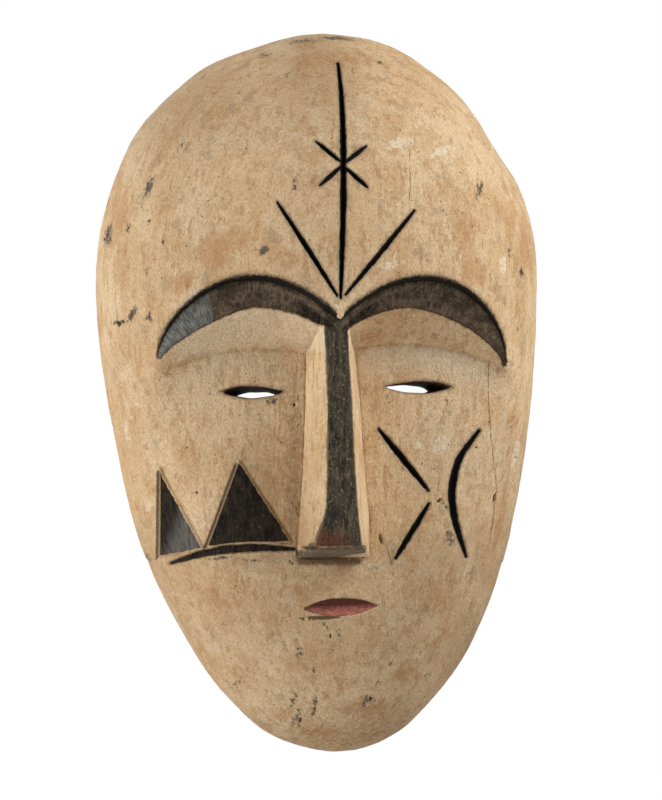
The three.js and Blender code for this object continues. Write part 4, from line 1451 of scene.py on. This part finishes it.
def mark_wood(piece):
    x, y, z = coordinates(piece)
    below_front = carved_depth(x, z) + y
    paint(piece, "smoke", smoothstep(6.5, 10, below_front))
    dark = np.full(x.shape, FAR)
    for name in FIELDS:
        dark = np.minimum(dark, field_everywhere(name, x, z, FAR))
    fields = smoothstep(3.4, 1.8, dark) * smoothstep(8, 6, below_front)
    slits = 0.6 * smoothstep(3.4, 1.8, slits_away(x, z + 1.5)) * smoothstep(14, 8, below_front)
    paint(piece, "sooty", np.maximum(fields, slits))
    paint(piece, "handled", smoothstep(4, 0.5, -y) * (0.6 + 0.4 * noise(x, y, z, 14, 81, 2)))


def mark_brow(piece):
    x, _, z = coordinates(piece)
    side = -1 if "left" in piece.name else 1
    below = brow_edge(x) - z
    # on the brows this share is black paint, along the upper edge, low at the inner end and by the nose
    edge_line = 0.75 * smoothstep(3.4, 1.6, below)
    inner_low = smoothstep(40, 16, side * x) * smoothstep(4, 8, below) * 0.55
    near_nose = smoothstep(14, 6, side * x) * 0.25
    paint(piece, "black_paint_and_shade", edge_line + np.maximum(inner_low, near_nose))
    outer = smoothstep(-66.2, -67.4, x + 0.25 * (z + 150)) if side < 0 else 0 * x
    paint(piece, "greyed", outer * smoothstep(2.4, 3.4, below) * 0.9)
    paint(piece, "lower_edge", np.minimum(8, z - crescent_edge(x)))


def mark_nose(piece):
    x, _, z = coordinates(piece)
    paint(piece, "browned", smoothstep(NOSE_TIP_Z + 20, NOSE_TIP_Z + 3, z) * smoothstep(20, -6, x))
    underside = "underside" in piece.name
    paint(piece, "underneath", float(underside))
    above = z - NOSE_TIP_Z
    line = np.abs(above - TIP_STAIN_TILT * (x - TIP_STAIN_X) - 0.2)
    paint(piece, "tip", line if underside else above - 1.2)


def mark_triangle(piece):
    x, _, z = coordinates(piece)
    # painted sheen on the small triangle's right part
    right = smoothstep(-86, -76, x - 0.3 * (z + 262))
    paint(piece, "painted_sheen", right * 0.75 if "small" in piece.name else 0 * x)


def mark_mouth(piece):
    x, _, z = coordinates(piece)
    # painted shade over the upper half of the mouth's hollow
    paint(piece, "black_paint_and_shade", smoothstep(-0.6, 1.4, z - MOUTH_Z - 0.9 - MOUTH_TILT * (x - MOUTH_X)))


# ================= the pieces =================
def place(piece, node, slot, material):
    piece.data.materials.clear()
    piece.data.materials.append(material)
    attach(piece, "root")
    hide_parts(node)


def build_mask():
    wood = make_wood()
    mark_wood(wood)
    place(wood, "wooden_shell", "wood", wood_material())
    clay = make_clay()
    mark_clay(clay)
    place(clay, "white_clay_skin", "white_clay", clay_material())

    finishes = {  # each kind of field's material slot, its material, and what marks it
        "line": ("black_pigment", black_material(), None),
        "triangle": ("black_pigment", triangle_material(), mark_triangle),
        "brow": ("brown_pigment", brow_material(), mark_brow),
        "nose": ("brown_pigment", nose_material(), mark_nose),
        "mouth": ("red_pigment", mouth_material(), mark_mouth),
    }
    for node in FIELDS:
        kind = node.split("_")[0]
        if kind not in finishes:
            rubbed = node in TRIANGLES or node == "cheek_band_pigment"
            kind = "triangle" if rubbed else "line"
        slot, material, mark = finishes[kind]
        piece = make_pigment(node)
        if mark:
            mark(piece)
        place(piece, node, slot, material)


# ================= stage, light and camera =================
TARGET = Vector((0, -50 * MM, -193.5 * MM))
LIGHT_DISTANCE, LIGHT_SIZE = 2.2, 0.9
LIGHTS = {  # azimuth, elevation and power
    "left_box": (-74, 12, 37),
    "right_box": (60, 38, 50),
    "back_box": (205, 24, 22),
}


def plain_material(name, value):
    g = Graph(name)
    g.shader.inputs["Base Color"].default_value = (value, value, value, 1)
    g.shader.inputs["Roughness"].default_value = 0.9
    return g.material


def make_floor():
    steps, radius, level = 96, 1100, CHIN_Z - 230
    turns = [2 * math.pi * i / steps for i in range(steps)]
    ring = [(radius * math.cos(turn), radius * math.sin(turn), level) for turn in turns]
    floor = make_mesh("floor", ring, [tuple(range(steps))])
    floor.data.materials.append(plain_material("pale_floor", 0.86))


def direction(azimuth, elevation):
    """Outward from the mask: azimuth 0 is in front, and 90 is to the right."""
    a, e = math.radians(azimuth), math.radians(elevation)
    return Vector((math.sin(a) * math.cos(e), -math.cos(a) * math.cos(e), math.sin(e)))


def aimed(name, data, where, outward):
    """A light or a camera at a place, which looks back along the outward direction."""
    thing = bpy.data.objects.new(name, data)
    thing.location = where
    thing.rotation_mode = "QUATERNION"
    thing.rotation_quaternion = (-outward).to_track_quat("-Z", "Y")
    bpy.context.collection.objects.link(thing)
    return thing


def area_light(name, azimuth, elevation, power):
    """A soft box that faces the middle of the mask."""
    outward = direction(azimuth, elevation)
    lamp = bpy.data.lights.new(name, "AREA")
    lamp.size = LIGHT_SIZE
    lamp.energy = power
    aimed(name, lamp, TARGET + outward * LIGHT_DISTANCE, outward)


def make_world(above, below):
    """White behind everything, and a faint light that is stronger from above than from below."""
    world = bpy.data.worlds.new("studio")
    world.use_nodes = True
    tree = world.node_tree
    background = tree.nodes["Background"]
    height = tree.nodes.new("ShaderNodeSeparateXYZ")
    tree.links.new(tree.nodes.new("ShaderNodeTexCoord").outputs["Generated"], height.inputs[0])
    sky = tree.nodes.new("ShaderNodeMapRange")
    tree.links.new(height.outputs["Z"], sky.inputs["Value"])
    set_range(sky, -1, 1, below, above)
    seen = tree.nodes.new("ShaderNodeLightPath").outputs["Is Camera Ray"]
    strength = tree.nodes.new("ShaderNodeMix")
    tree.links.new(seen, strength.inputs["Factor"])
    tree.links.new(sky.outputs["Result"], strength.inputs[2])
    strength.inputs[3].default_value = 1.0
    tree.links.new(strength.outputs[0], background.inputs["Strength"])
    background.inputs["Color"].default_value = (1, 1, 1, 1)
    bpy.context.scene.world = world


CAMERA_TURN = -7
CAMERA_DISTANCE = 2.0
CAMERA_RIGHT, CAMERA_DOWN = 2.6 * MM, 3.8 * MM  # how far the camera stands off the target's line
LENS = 164.6


def make_camera():
    outward, right = direction(CAMERA_TURN, 0), direction(CAMERA_TURN + 90, 0)
    data = bpy.data.cameras.new("camera")
    data.lens = LENS
    data.sensor_width = 36
    data.clip_end = 50
    where = TARGET + outward * CAMERA_DISTANCE + right * CAMERA_RIGHT - Vector((0, 0, CAMERA_DOWN))
    bpy.context.scene.camera = aimed("camera", data, where, outward)


make_camera()
build_mask()
make_floor()
make_world(above=0.18, below=0.05)
for name, light in LIGHTS.items():
    area_light(name, *light)
bpy.context.scene.view_settings.view_transform = "Standard"
